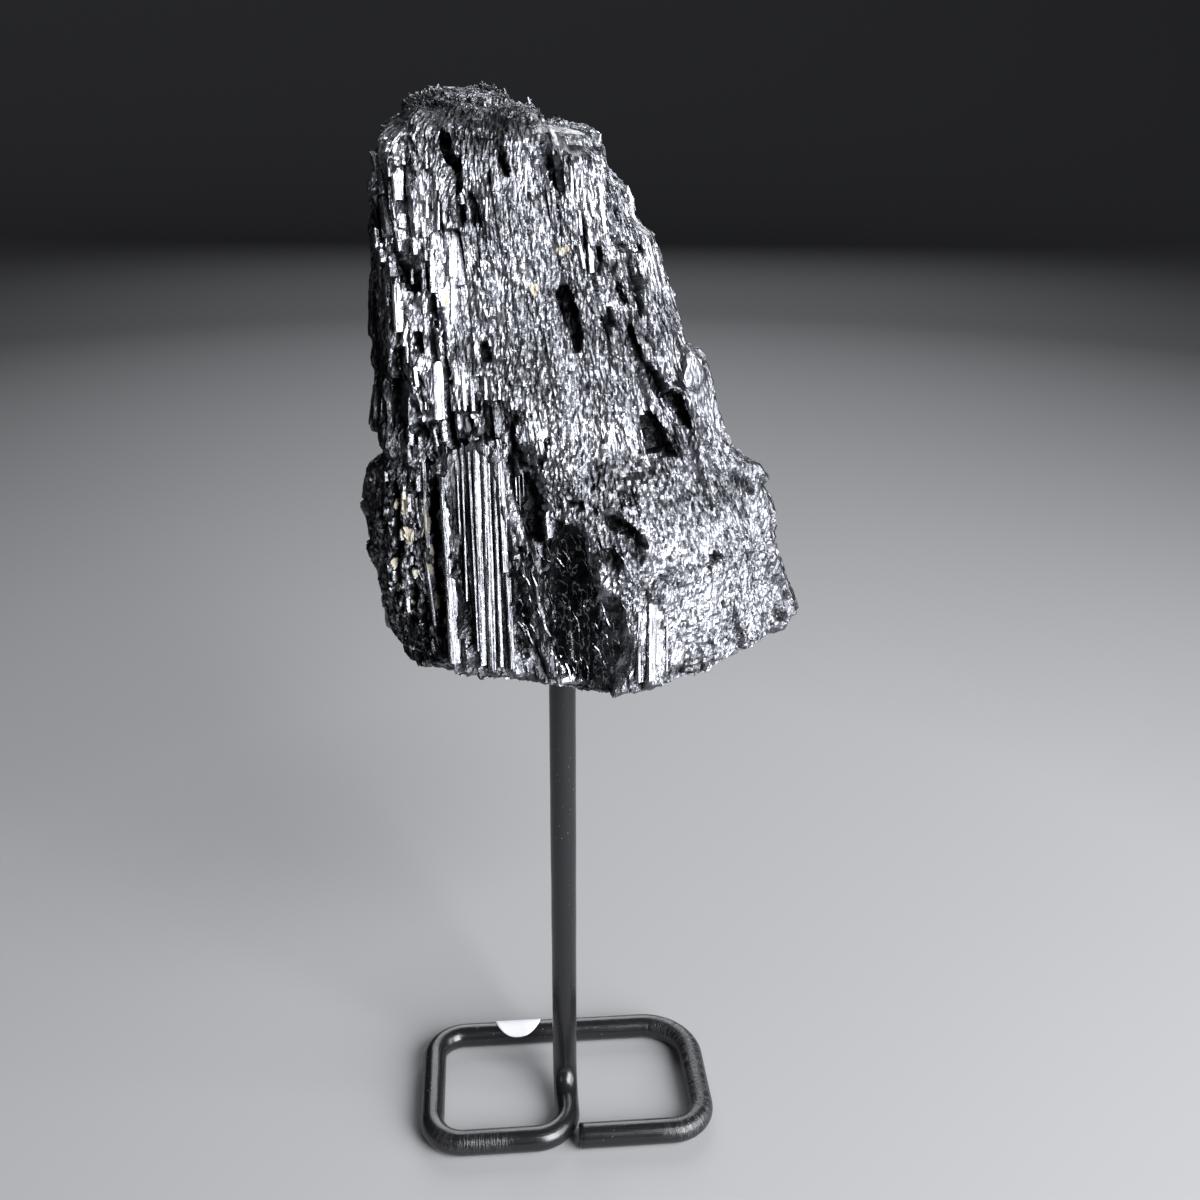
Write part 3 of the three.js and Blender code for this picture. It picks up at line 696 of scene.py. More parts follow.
def drawnOnto(points):
    # The shell's points carried inward along its normals until they meet the CAD stone.
    rows, columns = points.shape[:2]
    shell = makePiece("shell", points.reshape(-1, 3), [gridFaces(rows, columns, True)], stoneMaterial)
    wrap = shell.modifiers.new("wrap", "SHRINKWRAP")
    wrap.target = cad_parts["tourmaline"]
    wrap.wrap_method = "PROJECT"
    wrap.use_negative_direction = True
    wrap.use_positive_direction = False
    evaluated = shell.evaluated_get(bpy.context.evaluated_depsgraph_get())
    found = np.empty(rows * columns * 3, np.float32)
    evaluated.to_mesh().vertices.foreach_get("co", found)
    bpy.data.objects.remove(shell)
    return found.reshape(rows, columns, 3).astype(float) / mm - (postX, postY, 0)


def blurred(field, passes):
    # Each pass mixes every point of the grid with its neighbours by 1-2-1, both ways.
    for _ in range(passes):
        field = (np.roll(field, 1, 1) + 2 * field + np.roll(field, -1, 1)) / 4
        ends = np.concatenate([field[:1], field, field[-1:]])
        field = (ends[:-2] + 2 * field + ends[2:]) / 4
    return field


def gridNormals(points):
    # The unit cross product of the steps across and up the grid, which points outward.
    across = np.roll(points, -1, 1) - np.roll(points, 1, 1)
    return unit(np.cross(across, np.gradient(points, axis=0)))


def onFront(points):
    # 1 on the front, easing to 0 towards the back.
    return 1 - ease(points[..., 1], 2, 9)


def inPlaces(points, places):
    # The strongest of the leaning ovals on the front that hold each point, soft at their rims.
    total = np.zeros(points.shape[:-1])
    points = points + (0.8 * smoothNoise(73, points, 3.5) + 0.4 * smoothNoise(74, points, 1.3))[..., None]
    for x, z, halfWidth, halfHeight, lean, strength in places:
        rise = points[..., 2] - z
        across = (points[..., 0] - x + rise * math.tan(math.radians(lean))) / halfWidth
        inside = 1 - ease(np.hypot(across, rise / halfHeight), 0.75, 1.15)
        total = np.maximum(total, strength * inside)
    return total * onFront(points)


def facetted(points):
    # The front moved to each facet's plane, y = middle + slope x + slope z, inside its oval.
    points = points.copy()
    for x, z, halfWidth, halfHeight, lean, y, slopeX, slopeZ in facetPlaces:
        inside = inPlaces(points, [(x, z, halfWidth, halfHeight, lean, 1.0)])
        plane = y + slopeX * (points[..., 0] - x) + slopeZ * (points[..., 2] - z)
        points[..., 1] += inside * (plane - points[..., 1])
    return points


def pushed(points):
    # Each push moves the points near it by e^(-d^2), d the distance over its reach.
    moved = points.copy()
    for x, z, reachX, reachZ, moveX, moveZ in outlinePushes:
        share = np.exp(-((points[..., 0] - x) / reachX) ** 2 - ((points[..., 2] - z) / reachZ) ** 2)
        moved[..., 0] += moveX * share
        moved[..., 2] += moveZ * share
    return moved


def nearLine(points, line):
    # The distance in x and z from each point to a line of straight stretches, and how far
    # along the line that is, from 0 to 1.
    place = points[..., [0, 2]]
    nearest = np.full(place.shape[:-1], 1e9)
    share = np.zeros(place.shape[:-1])
    for number, (start, end) in enumerate(zip(line[:-1], line[1:])):
        start, step = np.array(start), np.array(end) - np.array(start)
        along = ((place - start) @ step / (step @ step)).clip(0, 1)
        away = np.linalg.norm(place - start - along[..., None] * step, axis=-1)
        share = np.where(away < nearest, (number + along) / (len(line) - 1), share)
        nearest = np.minimum(nearest, away)
    return nearest, share


def alongLines(points, lines):
    # Each line is a V that tapers to its ends, on the front only, its course and its width
    # made uneven so that it breaks up here and there.
    wander = np.zeros(points.shape)
    for size, scale, salt in ((0.6, 3.0, 71), (0.3, 0.9, 75)):
        wander[..., 0] += size * smoothNoise(salt, points, scale)
        wander[..., 2] += size * smoothNoise(salt + 1, points, scale)
    uneven = spread(smoothNoise(77, points, 2.2), 0.9, 1.5)
    total = np.zeros(points.shape[:-1])
    for line, halfWidth, depth in lines:
        away, share = nearLine(points + wander, line)
        wide = halfWidth * uneven * (0.35 + 0.65 * np.sqrt(4 * share * (1 - share)))
        total = np.maximum(total, depth * uneven.clip(0, 1) * (1 - ease(away, 0.3 * wide, 1.7 * wide)))
    return total * onFront(points)


def inShapes(points, shapes, soft=0.25):
    # How deep each point lies in the gaps, and the share of the shine that their painted shade takes: the
    # distance to the nearest side, counted as inside where a level line from the point crosses the sides an odd
    # number of times, easing in over a soft rim.
    place = points[..., [0, 2]].reshape(-1, 2)
    cut, paintedShade = np.zeros(len(place)), np.zeros(len(place))
    front = points[..., 1].ravel() < 9
    for depth, shade, corners in shapes:
        corners = np.array(corners, float)
        low, high = corners.min(0) - 1, corners.max(0) + 1
        near = np.nonzero(((place > low) & (place < high)).all(1) & front)[0]
        if not len(near):
            continue
        spot = place[near, None]
        start, step = corners[None], (np.roll(corners, -1, 0) - corners)[None]
        along = (((spot - start) * step).sum(-1) / (step ** 2).sum(-1)).clip(0, 1)
        away = np.linalg.norm(spot - start - along[..., None] * step, axis=-1).min(1)
        straddles = (start[..., 1] > spot[..., 1]) != ((start + step)[..., 1] > spot[..., 1])
        rise = np.where(step[..., 1] == 0, 1e-9, step[..., 1])
        crossing = start[..., 0] + (spot[..., 1] - start[..., 1]) / rise * step[..., 0]
        inside = (straddles & (spot[..., 0] < crossing)).sum(1) % 2 == 1
        share = ease(np.where(inside, away, -away), -soft, soft)
        cut[near] = np.maximum(cut[near], depth * share)
        paintedShade[near] = np.maximum(paintedShade[near], shade * share)
    return cut.reshape(points.shape[:-1]), paintedShade.reshape(points.shape[:-1])


def faceTurn(outward):
    # The crystals grew side by side, so their faces look six ways round the upright axis:
    # the way nearest to each outward direction, as a turn in the plan. The front's own way
    # reaches further round to the left.
    turn = np.arctan2(outward[..., 1], outward[..., 0])
    first, sixth = math.radians(crystalWay["turn"]), math.pi / 3
    nearest = np.round((turn - first) / sixth) * sixth + first
    return np.where((turn < first) & (turn > math.radians(crystalWay["leftmost"])), first, nearest)


def facesWay(outward, scatter=0):
    # The direction the faces look, from their turn in the plan and their rise.
    turn = faceTurn(outward) + scatter
    return np.stack([np.cos(turn), np.sin(turn), np.full(turn.shape, faceRise)], -1)


def faceSlope(outward):
    # How fast the skin has to fall across the plan for it to look the crystals' way:
    # the way less its share along outward, over that share, and none where it lies flat.
    way = facesWay(outward)[..., :2]
    level = unit(outward[..., :2])
    share = (way * level).sum(-1, keepdims=True)
    slope = (way - share * level) / share.clip(0.3)
    return slope * (1 - ease(np.abs(outward[..., 2]), 0.5, 0.8))[..., None]


def crystalCells(fan, size, salt):
    # Uneven cells in the foot plane round jittered lattice points. Returns the nearest
    # point's whole-number place, the offset from it, and how much nearer it is than the next.
    u, v = fan[..., 0] / size, fan[..., 1] / size
    homeU, homeV = np.floor(u), np.floor(v)
    best = np.full(u.shape, 1e9)
    second = best.copy()
    chosen = np.zeros(u.shape + (4,))
    for stepU in (-1, 0, 1):
        for stepV in (-1, 0, 1):
            cellU, cellV = homeU + stepU, homeV + stepV
            awayU = cellU + labelNoise(salt, cellU, cellV) - u
            awayV = cellV + labelNoise(salt + 1, cellU, cellV) - v
            away = np.hypot(awayU, awayV)
            closer = away < best
            second = np.where(closer, best, np.minimum(second, away))
            best = np.where(closer, away, best)
            chosen = np.where(closer[..., None], np.stack([cellU, cellV, awayU, awayV], -1), chosen)
    return chosen[..., 0], chosen[..., 1], chosen[..., 2:] * size, (second - best) * size


def relief(fan, setting, salt, slope, share):
    # Every cell's crystal is broken across into lengths. Each length stands in or out by a
    # random step, leans a little, and has a groove round it: -depth e^(-gap / width). The
    # given share of the slope turns its face the crystals' way. Returns the rise and a
    # random shade for each length.
    size, length, rise, depth, width, lean = setting
    cellU, cellV, away, gap = crystalCells(fan, size, salt)
    usual = length * (0.6 + 0.8 * labelNoise(salt + 2, cellU, cellV))
    slant = 0.8 * (labelNoise(salt + 3, cellU, cellV) - 0.5)
    place = (fan[..., 2] + slant * away[..., 0]) / usual + labelNoise(salt + 4, cellU, cellV)
    stretch = np.floor(place)
    step = 2 * labelNoise(salt + 5, cellU, cellV, stretch) - 1
    leanAcross = lean * 2 * (2 * labelNoise(salt + 6, cellU, cellV, stretch) - 1)
    leanAlong = lean * (2 * labelNoise(salt + 7, cellU, cellV, stretch) - 1)
    along = (place - stretch - 0.5) * usual
    tipped = leanAcross * away[..., 0] + leanAlong * np.clip(along, -3 * size, 3 * size)
    turned = share * ((slope * away).sum(-1) - faceRise * np.clip(along, -size, size))
    offset = rise * step + tipped + turned - depth * np.exp(-gap / width)
    return offset, labelNoise(salt + 8, cellU, cellV, stretch)


def grainRelief(fan, setting, salt, slope, share):
    # The same for grains: uneven cells in space round jittered lattice points. Returns the
    # rise, a random shade for each grain and the grain's middle.
    size, height, rise, depth, width, lean = setting
    reach = np.array([size, size, height])
    home = np.floor(fan / reach)
    best = np.full(fan.shape[:-1], 1e9)
    second = best.copy()
    grain, away = np.zeros(fan.shape), np.zeros(fan.shape)
    for step in np.ndindex(3, 3, 3):
        cell = home + step - 1
        labels = np.moveaxis(cell, -1, 0)
        jitter = np.stack([labelNoise(salt + k, *labels) for k in range(3)], -1)
        toMiddle = (cell + jitter) * reach - fan
        distance = np.linalg.norm(toMiddle, axis=-1)
        closer = distance < best
        second = np.where(closer, best, np.minimum(second, distance))
        best = np.where(closer, distance, best)
        grain = np.where(closer[..., None], cell, grain)
        away = np.where(closer[..., None], toMiddle, away)
    labels = np.moveaxis(grain, -1, 0)
    step = 2 * labelNoise(salt + 5, *labels) - 1
    leanAcross = lean * 2 * (2 * labelNoise(salt + 6, *labels) - 1)
    leanAlong = lean * 2 * (2 * labelNoise(salt + 7, *labels) - 1)
    tipped = leanAcross * away[..., 0] + leanAlong * away[..., 2]
    turned = share * ((slope * away[..., :2]).sum(-1) + faceRise * away[..., 2])
    offset = rise * step + tipped + turned - depth * np.exp((best - second) / width)
    return offset, labelNoise(salt + 8, *labels), fromFan(fan + away)


def stark(shine, shade, points):
    # The shine made all or nothing in the stark places, with more flakes shining at the bright places as
    # painted light, and put out as painted shade for the share of flakes that stays black in the sparse places.
    part = inPlaces(points, starkPlaces)
    edge = 0.5 - 0.3 * inPlaces(points, paintedLightPlaces)
    shine = shine + part * (ease(shade, edge - 0.1, edge + 0.1) - shine)
    sparse = inPlaces(points, sparseShadePlaces)
    return shine * spread(ease(shade, sparse - 0.04, sparse + 0.04), 0.06, 1)


def skinBase():
    # The shell drawn in onto the stone, without the rows that end up in the bore, softened
    # a little and brought to the outline and the flat faces of the front.
    base = drawnOnto(shellPoints())
    reach = np.hypot(base[..., 0], base[..., 1]).mean(1)
    inBore = (base[..., 2].mean(1) < boreTop) & (reach < boreRadius + 1.2)
    first = int(np.max(np.nonzero(inBore)[0], initial=-1)) + 1
    base = facetted(pushed(blurred(base[first:], 1)))
    print("skin rows kept", len(base))
    return base


def skinRelief(base, normals):
    # How far the skin stands out of its base and how shiny it is. The rise is columns, laths and grains, each
    # by its share, less the pits, cracks, gaps and the hollow of the block. Its shine is put out in the sunk
    # places and in the gaps as painted shade.
    fan = toFan(base)
    flatEnds = ease(np.abs(normals[..., 2]), 0.6, 0.85)  # the broken top and underside
    grain = np.maximum(inPlaces(base, grainPlaces), 0.25 * ease(base[..., 1], 0, 12))
    grain = np.maximum(grain, flatEnds)
    inBlock = inPlaces(base, blockPlaces)
    calm = np.maximum(inPlaces(base, smoothPlaces), 0.8 * inBlock)
    lively = (1 - calm) * ease(np.hypot(base[..., 0], base[..., 1]), boreRadius + 0.4, boreRadius + 3)
    slope = faceSlope(normals) * (1 + 0.5 * inPlaces(base, starkPlaces))[..., None]
    slope = slope * (1 - 0.85 * ease(np.abs(normals[..., 2]), 0.5, 0.8))[..., None]
    columnTurn, lathTurn, grainTurn = skin["turns"]
    columnRise, _ = relief(fan, skin["columns"], 11, slope, columnTurn)
    lathRise, lathShade = relief(fan, skin["laths"], 31, slope, lathTurn)
    grainRise, grainShade, grainMiddle = grainRelief(fan, skin["grains"], 51, slope, grainTurn)
    # the gaps are whole grains broken out, so they are cut by the grains' middles
    broken = 0.35 * base + 0.65 * grainMiddle
    gapCut, gapPaintedShade = inShapes(broken, gapShapes)
    even = inPlaces(base, alignedPlaces)  # less steep there, so that little lies in shadow
    columnFade, lathFade = skin["fade"]
    columnEven, lathEven = skin["evenFade"]
    offset = (1 - columnFade * grain) * (1 - columnEven * even) * columnRise
    offset = offset + (1 - lathFade * grain) * (1 - lathEven * even) * lathRise
    offset = offset + (0.3 + 0.7 * grain) * grainRise
    offset = offset * lively * (1 - 0.2 * flatEnds)
    offset = offset - inPlaces(broken, pitPlaces) - alongLines(broken, crackLines) - gapCut
    offset = offset - skin["blockDepth"] * inBlock * (gapPaintedShade < 0.1)
    offset = offset + 0.3 * smoothNoise(5, base, 3.0) * calm + 0.15 * smoothNoise(6, base, 1.4) * calm
    # painted shade: how far the skin lies below its neighbourhood, where its shine is put out
    shadedHollow = blurred(offset, 6) - offset
    shade = np.where(grain > 0.5, grainShade, lathShade)
    lustreAndPaintedLight = stark(spread(shade, 0.35, 1), grainShade, base)
    # painted shade: the gaps take their share of the shine
    lustreAndPaintedLight = lustreAndPaintedLight * (1 - ease(shadedHollow, *skin["shadedHollow"])) * (1 - gapPaintedShade)
    steps = even[..., None] * (facesWay(normals) - normals) + stoneGrowth
    return offset, lustreAndPaintedLight, steps


def makeSkin():
    # The base raised along its own softened normals. Two rings and a point line the bore,
    # and a point closes the top.
    base = skinBase()
    normals = gridNormals(blurred(base, 7))
    offset, lustreAndPaintedLight, steps = skinRelief(base, normals)
    surface = base + normals * offset[..., None]

    ring = surface[0]
    turn = np.arctan2(ring[:, 1], ring[:, 0])
    mouth = np.stack([boreRadius * np.cos(turn), boreRadius * np.sin(turn), ring[:, 2]], -1)
    deep = mouth * (1, 1, 0) + (0, 0, boreTop)
    grid = np.concatenate([deep[None], mouth[None], surface])
    rows, columns = grid.shape[:2]
    tips = np.array([[0, 0, boreTop], surface[-1].mean(0)])
    points = np.concatenate([grid.reshape(-1, 3), tips])
    # painted shade: the bore's two rings and its end point get no shine
    lustreAndPaintedLight = np.concatenate([np.zeros(2 * columns), lustreAndPaintedLight.ravel(), [0, 0.3]])
    allSteps = np.zeros(points.shape)
    allSteps[2 * columns:-2] = steps.reshape(-1, 3)
    attributes = stoneAttributes(points, lustreAndPaintedLight, allSteps)
    makePiece("stoneSkin", points, closedFaces(rows, columns), stoneMaterial, attributes, "tourmaline")
    return surface, gridNormals(blurred(surface, 3))


def stoneAttributes(points, lustreAndPaintedLight, steps, uneven=True):
    # What the material reads: the place on the fan, how grainy, shiny and calm the face is, how far its fine
    # steps turn its look, and the tan specks. An uneven one is painted darker in the block and the cracks as
    # painted shade, painted brighter at the bright places as painted light, and patchy.
    grain = inPlaces(points, grainPlaces)
    calm = np.ones(len(points))
    if uneven:
        # painted light: at the bright places the shine is raised and the flecks kept more even
        bright = inPlaces(points, paintedLightPlaces)
        calm = np.maximum(inPlaces(points, smoothPlaces), 0.45 * bright)
        # painted shade on the skin sunk behind the block's crystals
        paintedShade = 0.9 * inPlaces(points, blockPlaces)
        lustreAndPaintedLight = lustreAndPaintedLight ** (1 - 0.7 * bright)
        lustreAndPaintedLight = lustreAndPaintedLight * (1 - paintedShade).clip(0, 1)
        # painted shade along the cracks
        lustreAndPaintedLight = lustreAndPaintedLight * (1 - 0.6 * ease(alongLines(points, crackLines), 0.5, 1.6))
        patches = smoothNoise(91, points, 7.0) + 0.6 * smoothNoise(92, points, 3.2)
        lustreAndPaintedLight = (lustreAndPaintedLight * spread(patches, 0.76, 1.3)).clip(0, 1)
    return {
        "fan": toFan(points),
        "finishAndPaintedLight": np.stack([grain, lustreAndPaintedLight, calm], -1),
        "specks": inPlaces(points, speckPlaces),
        "steps": np.broadcast_to(steps, points.shape),
    }


# Crystals bedded all over the skin. Lengths and radii are in millimetres, angles in degrees.
needles = {
    "pieces": 4,
    "count": 15000,  # places tried for each piece, and the most that it keeps
    "most": 15000,
    "start": 0,  # the first place's number
    "frontOnly": False,
    "bareEnds": 0.92,  # how bare the broken top and underside are of them
    "standing": 1.0,  # how far they stand along the fan there
    "fullArea": 0.1,  # square millimetres of skin: fewer stand on smaller parts
    "longest": (1.0, 4.6),
    "shortest": (0.35, 1.0),
    "radius": (0.14, 0.36),
    "grainRadius": (0.11, 0.27),
    "lean": (4, 80),  # across the way the crystals grew: the long ones, then the grains
    "leanOut": (4, 22),
    "sunk": 0.55,
}
# Smaller chips that cover the grainy parts of the front alone.
flakes = {
    "pieces": 1,
    "count": 110000,
    "most": 15500,
    "start": 90000,
    "frontOnly": True,
    "bareEnds": 0.5,
    "standing": 0.15,
    "fullArea": 0.42,
    "longest": (0.3, 0.8),
    "shortest": (0.3, 0.8),
    "radius": (0.08, 0.19),
    "grainRadius": (0.08, 0.19),
    "lean": (85, 85),
    "leanOut": (26, 26),
    "sunk": 0.3,
}
bedding = {
    "sides": 4,
    "flatness": 0.6,
    "taper": 0.8,  # the upper end against the lower
    "skew": 1.6,  # how far the ends are cut askew
    "stub": 0.16,  # how far a crystal stands out of the broken top or underside
    "rowStep": 0.52,  # the usual millimetres between rows of the skin
}


def goldenPlaces(number):
    # Two numbers from 0 to 1 for each whole number, spread evenly by golden-ratio steps.
    return (number * 0.7548776662) % 1, (number * 0.5698402910) % 1


def prismShapes(place, axis, outward, length, radius, salt):
    # Many prisms at once: an uneven polygon, cut off askew at both ends. A corner is
    # middle + radius (cos t across + flatness sin t outward) + height along the axis.
    count, sides = len(place), bedding["sides"]
    label = np.arange(count)[:, None]
    corner = np.arange(sides)[None, :]
    unevenTurn = 0.35 * (labelNoise(salt, label, corner) - 0.5) + 0.5 * (labelNoise(salt + 1, label) - 0.5)
    turn = 2 * np.pi * (corner + 0.5 + unevenTurn) / sides
    reach = radius[:, None] * (0.8 + 0.4 * labelNoise(salt + 2, label, corner))
    across = np.cross(outward, axis)
    side = (reach * np.cos(turn))[..., None] * across[:, None]
    side = side + (bedding["flatness"] * reach * np.sin(turn))[..., None] * outward[:, None]
    ends = []
    for way, shrink in ((-1, 1.0), (1, bedding["taper"])):
        skewAcross = bedding["skew"] * (labelNoise(salt + 5 + way, label) - 0.5)
        skewOut = bedding["skew"] * (labelNoise(salt + 9 + way, label) - 0.5)
        skew = skewAcross * reach * np.cos(turn) + skewOut * reach * np.sin(turn)
        height = way * length[:, None] / 2 + skew
        ends.append(place[:, None] + side * shrink + height[..., None] * axis[:, None])
    return np.stack(ends, 1).reshape(-1, 3), tubeFaces(count, 2, sides)


def bareShare(place, rim, setting):
    # How bare of strewn crystals each place is: the smooth places, the block, the cracks,
    # pits and gaps, the crystals placed one by one, and the broken top and underside.
    bare = np.maximum(inPlaces(place, smoothPlaces), inPlaces(place, blockPlaces))
    bare = np.maximum(bare, ease(alongLines(place, crackLines), 0.3, 1.0))
    bare = np.maximum(bare, 0.85 * ease(inPlaces(place, pitPlaces), 0.6, 1.4))
    bare = np.maximum(np.maximum(bare, onFrontCrystals(place)), setting["bareEnds"] * rim)
    gapCut, gapPaintedShade = inShapes(place, gapShapes)
    return np.maximum(bare, 0.9 * ease(np.maximum(gapCut, gapPaintedShade), 0.3, 0.7))


def makeNeedles(name, setting, surface, normals):
    # Each crystal lies along the chord between two places up and down the skin, so that
    # none stands off a bend; on the broken top and underside it points along the fan.
    rows, columns = surface.shape[:2]
    across = np.roll(surface, -1, 1) - surface
    area = np.linalg.norm(np.cross(across, np.gradient(surface, axis=0)), axis=-1)
    for piece in range(setting["pieces"]):
        number = np.arange(setting["count"]) + piece * setting["count"] + setting["start"]
        placeUp, placeAcross = goldenPlaces(number)
        row, column = (placeUp * (rows - 2)).astype(int), (placeAcross * columns).astype(int)
        place, outward = surface[row, column], normals[row, column]
        noise = [labelNoise(100 + k, number) for k in range(8)]
        ends = ease(np.abs(outward[:, 2]), 0.6, 0.85)
        rim = ease(np.abs(outward[:, 2]), 0.42, 0.65)
        grain = np.maximum(np.maximum(inPlaces(place, grainPlaces), ends), 0.12)
        bare = bareShare(place, rim, setting)
        if setting["frontOnly"]:
            seen = outward[:, 1] - outward[:, 2] < -0.2
            covered = np.maximum(inPlaces(place, grainPlaces) * seen, ease(outward[:, 2], 0.45, 0.7))
            covered = np.maximum(covered, ease(area[row, column], 0.5, 1.0))
            bare = np.maximum(bare, 1 - covered)
        share = (area[row, column] / setting["fullArea"]).clip(0, 1) * (1.05 - 1.05 * bare)
        keep = (noise[0] < share) & (np.hypot(place[:, 0], place[:, 1]) > boreRadius + 2)
        keep = np.nonzero(keep)[0][:setting["most"]]
        row, column, place, outward, number = [v[keep] for v in (row, column, place, outward, number)]
        grain, rim, ends = grain[keep], rim[keep], ends[keep][:, None]
        noise = [values[keep] for values in noise]
        standing = ends * setting["standing"]

        isGrain = (noise[1] < grain) | (ends[:, 0] > 0.3)
        size = noise[2] ** 1.8
        length = np.where(isGrain, spread(size, *setting["shortest"]), spread(size, *setting["longest"]))
        wide = noise[3] ** 1.6
        radius = np.where(isGrain, spread(wide, *setting["grainRadius"]), spread(wide, *setting["radius"]))
        half = np.round(length / 2 / bedding["rowStep"]).astype(int).clip(1)
        rowAbove, rowBelow = (row + half).clip(0, rows - 1), (row - half).clip(0, rows - 1)
        above, below = surface[rowAbove, column], surface[rowBelow, column]
        # round a rim the skin turns away, so a crystal there is a short one
        turnedAbove = (normals[rowAbove, column] * outward).sum(-1)
        turnedBelow = (normals[rowBelow, column] * outward).sum(-1)
        length = length * spread(ease(np.minimum(turnedAbove, turnedBelow), 0.55, 0.92), 0.3, 1)
        length = length * (1 - 0.5 * rim * setting["standing"])
        alongFan = 0.25 * (1 - rim[:, None]) + standing
        axis = unit(unit(above - below) * (1 - standing) + unit(fanTop - place) * alongFan)
        across = unit(np.cross(axis, outward))
        lean = np.radians(np.where(isGrain, setting["lean"][1], setting["lean"][0]))
        leanAcross = (lean * 2 * (noise[5] - 0.5))[:, None] * (1 - 0.75 * standing)
        lean = np.radians(np.where(isGrain, setting["leanOut"][1], setting["leanOut"][0]))
        leanOut = (lean * 2 * (noise[4] - 0.5))[:, None] * (1 - 0.75 * ends)
        axis = unit(np.cos(leanAcross) * axis + np.sin(leanAcross) * across + leanOut * outward)
        chordDrop = (((above + below) / 2 - place) * outward).sum(-1).clip(-1.5, 0)
        scatter = math.radians(crystalWay["scatter"]) * (noise[7] + labelNoise(109, number) - 1) * 2
        way = facesWay(outward, scatter) * (1 - ends) + outward * (0.2 + ends)
        flat = way - (way * axis).sum(-1, keepdims=True) * axis
        steep = np.linalg.norm(flat, axis=-1, keepdims=True)
        turned = np.where(steep > 0.35, flat / steep.clip(1e-6), unit(np.cross(axis, across)))
        sunk = setting["sunk"] * radius * (0.5 + noise[6]) - chordDrop
        stub = length / 2 - spread(noise[6], 0, bedding["stub"])
        sunk = np.where(standing[:, 0] > 0.3, stub, sunk)
        middle = place - outward * sunk[:, None]
        points, faces = prismShapes(middle, axis, turned, length, radius, 200 + piece)
        shine = labelNoise(110, number)
        shine = np.where(shine < 0.3, 0.12, spread(shine, 0.2, 1.15)).clip(0, 1)
        # painted light and shade: more flakes shine at the bright places, fewer at the sparse places, and the
        # gaps take their share
        shine = stark(shine, labelNoise(111, number), place) * (1 - inShapes(place, gapShapes)[1])
        attributes = stoneAttributes(points, np.repeat(shine, 2 * bedding["sides"]), stoneGrowth)
        makePiece(f"{name}{piece + 1}", points, faces, stoneMaterial, attributes, "tourmaline")


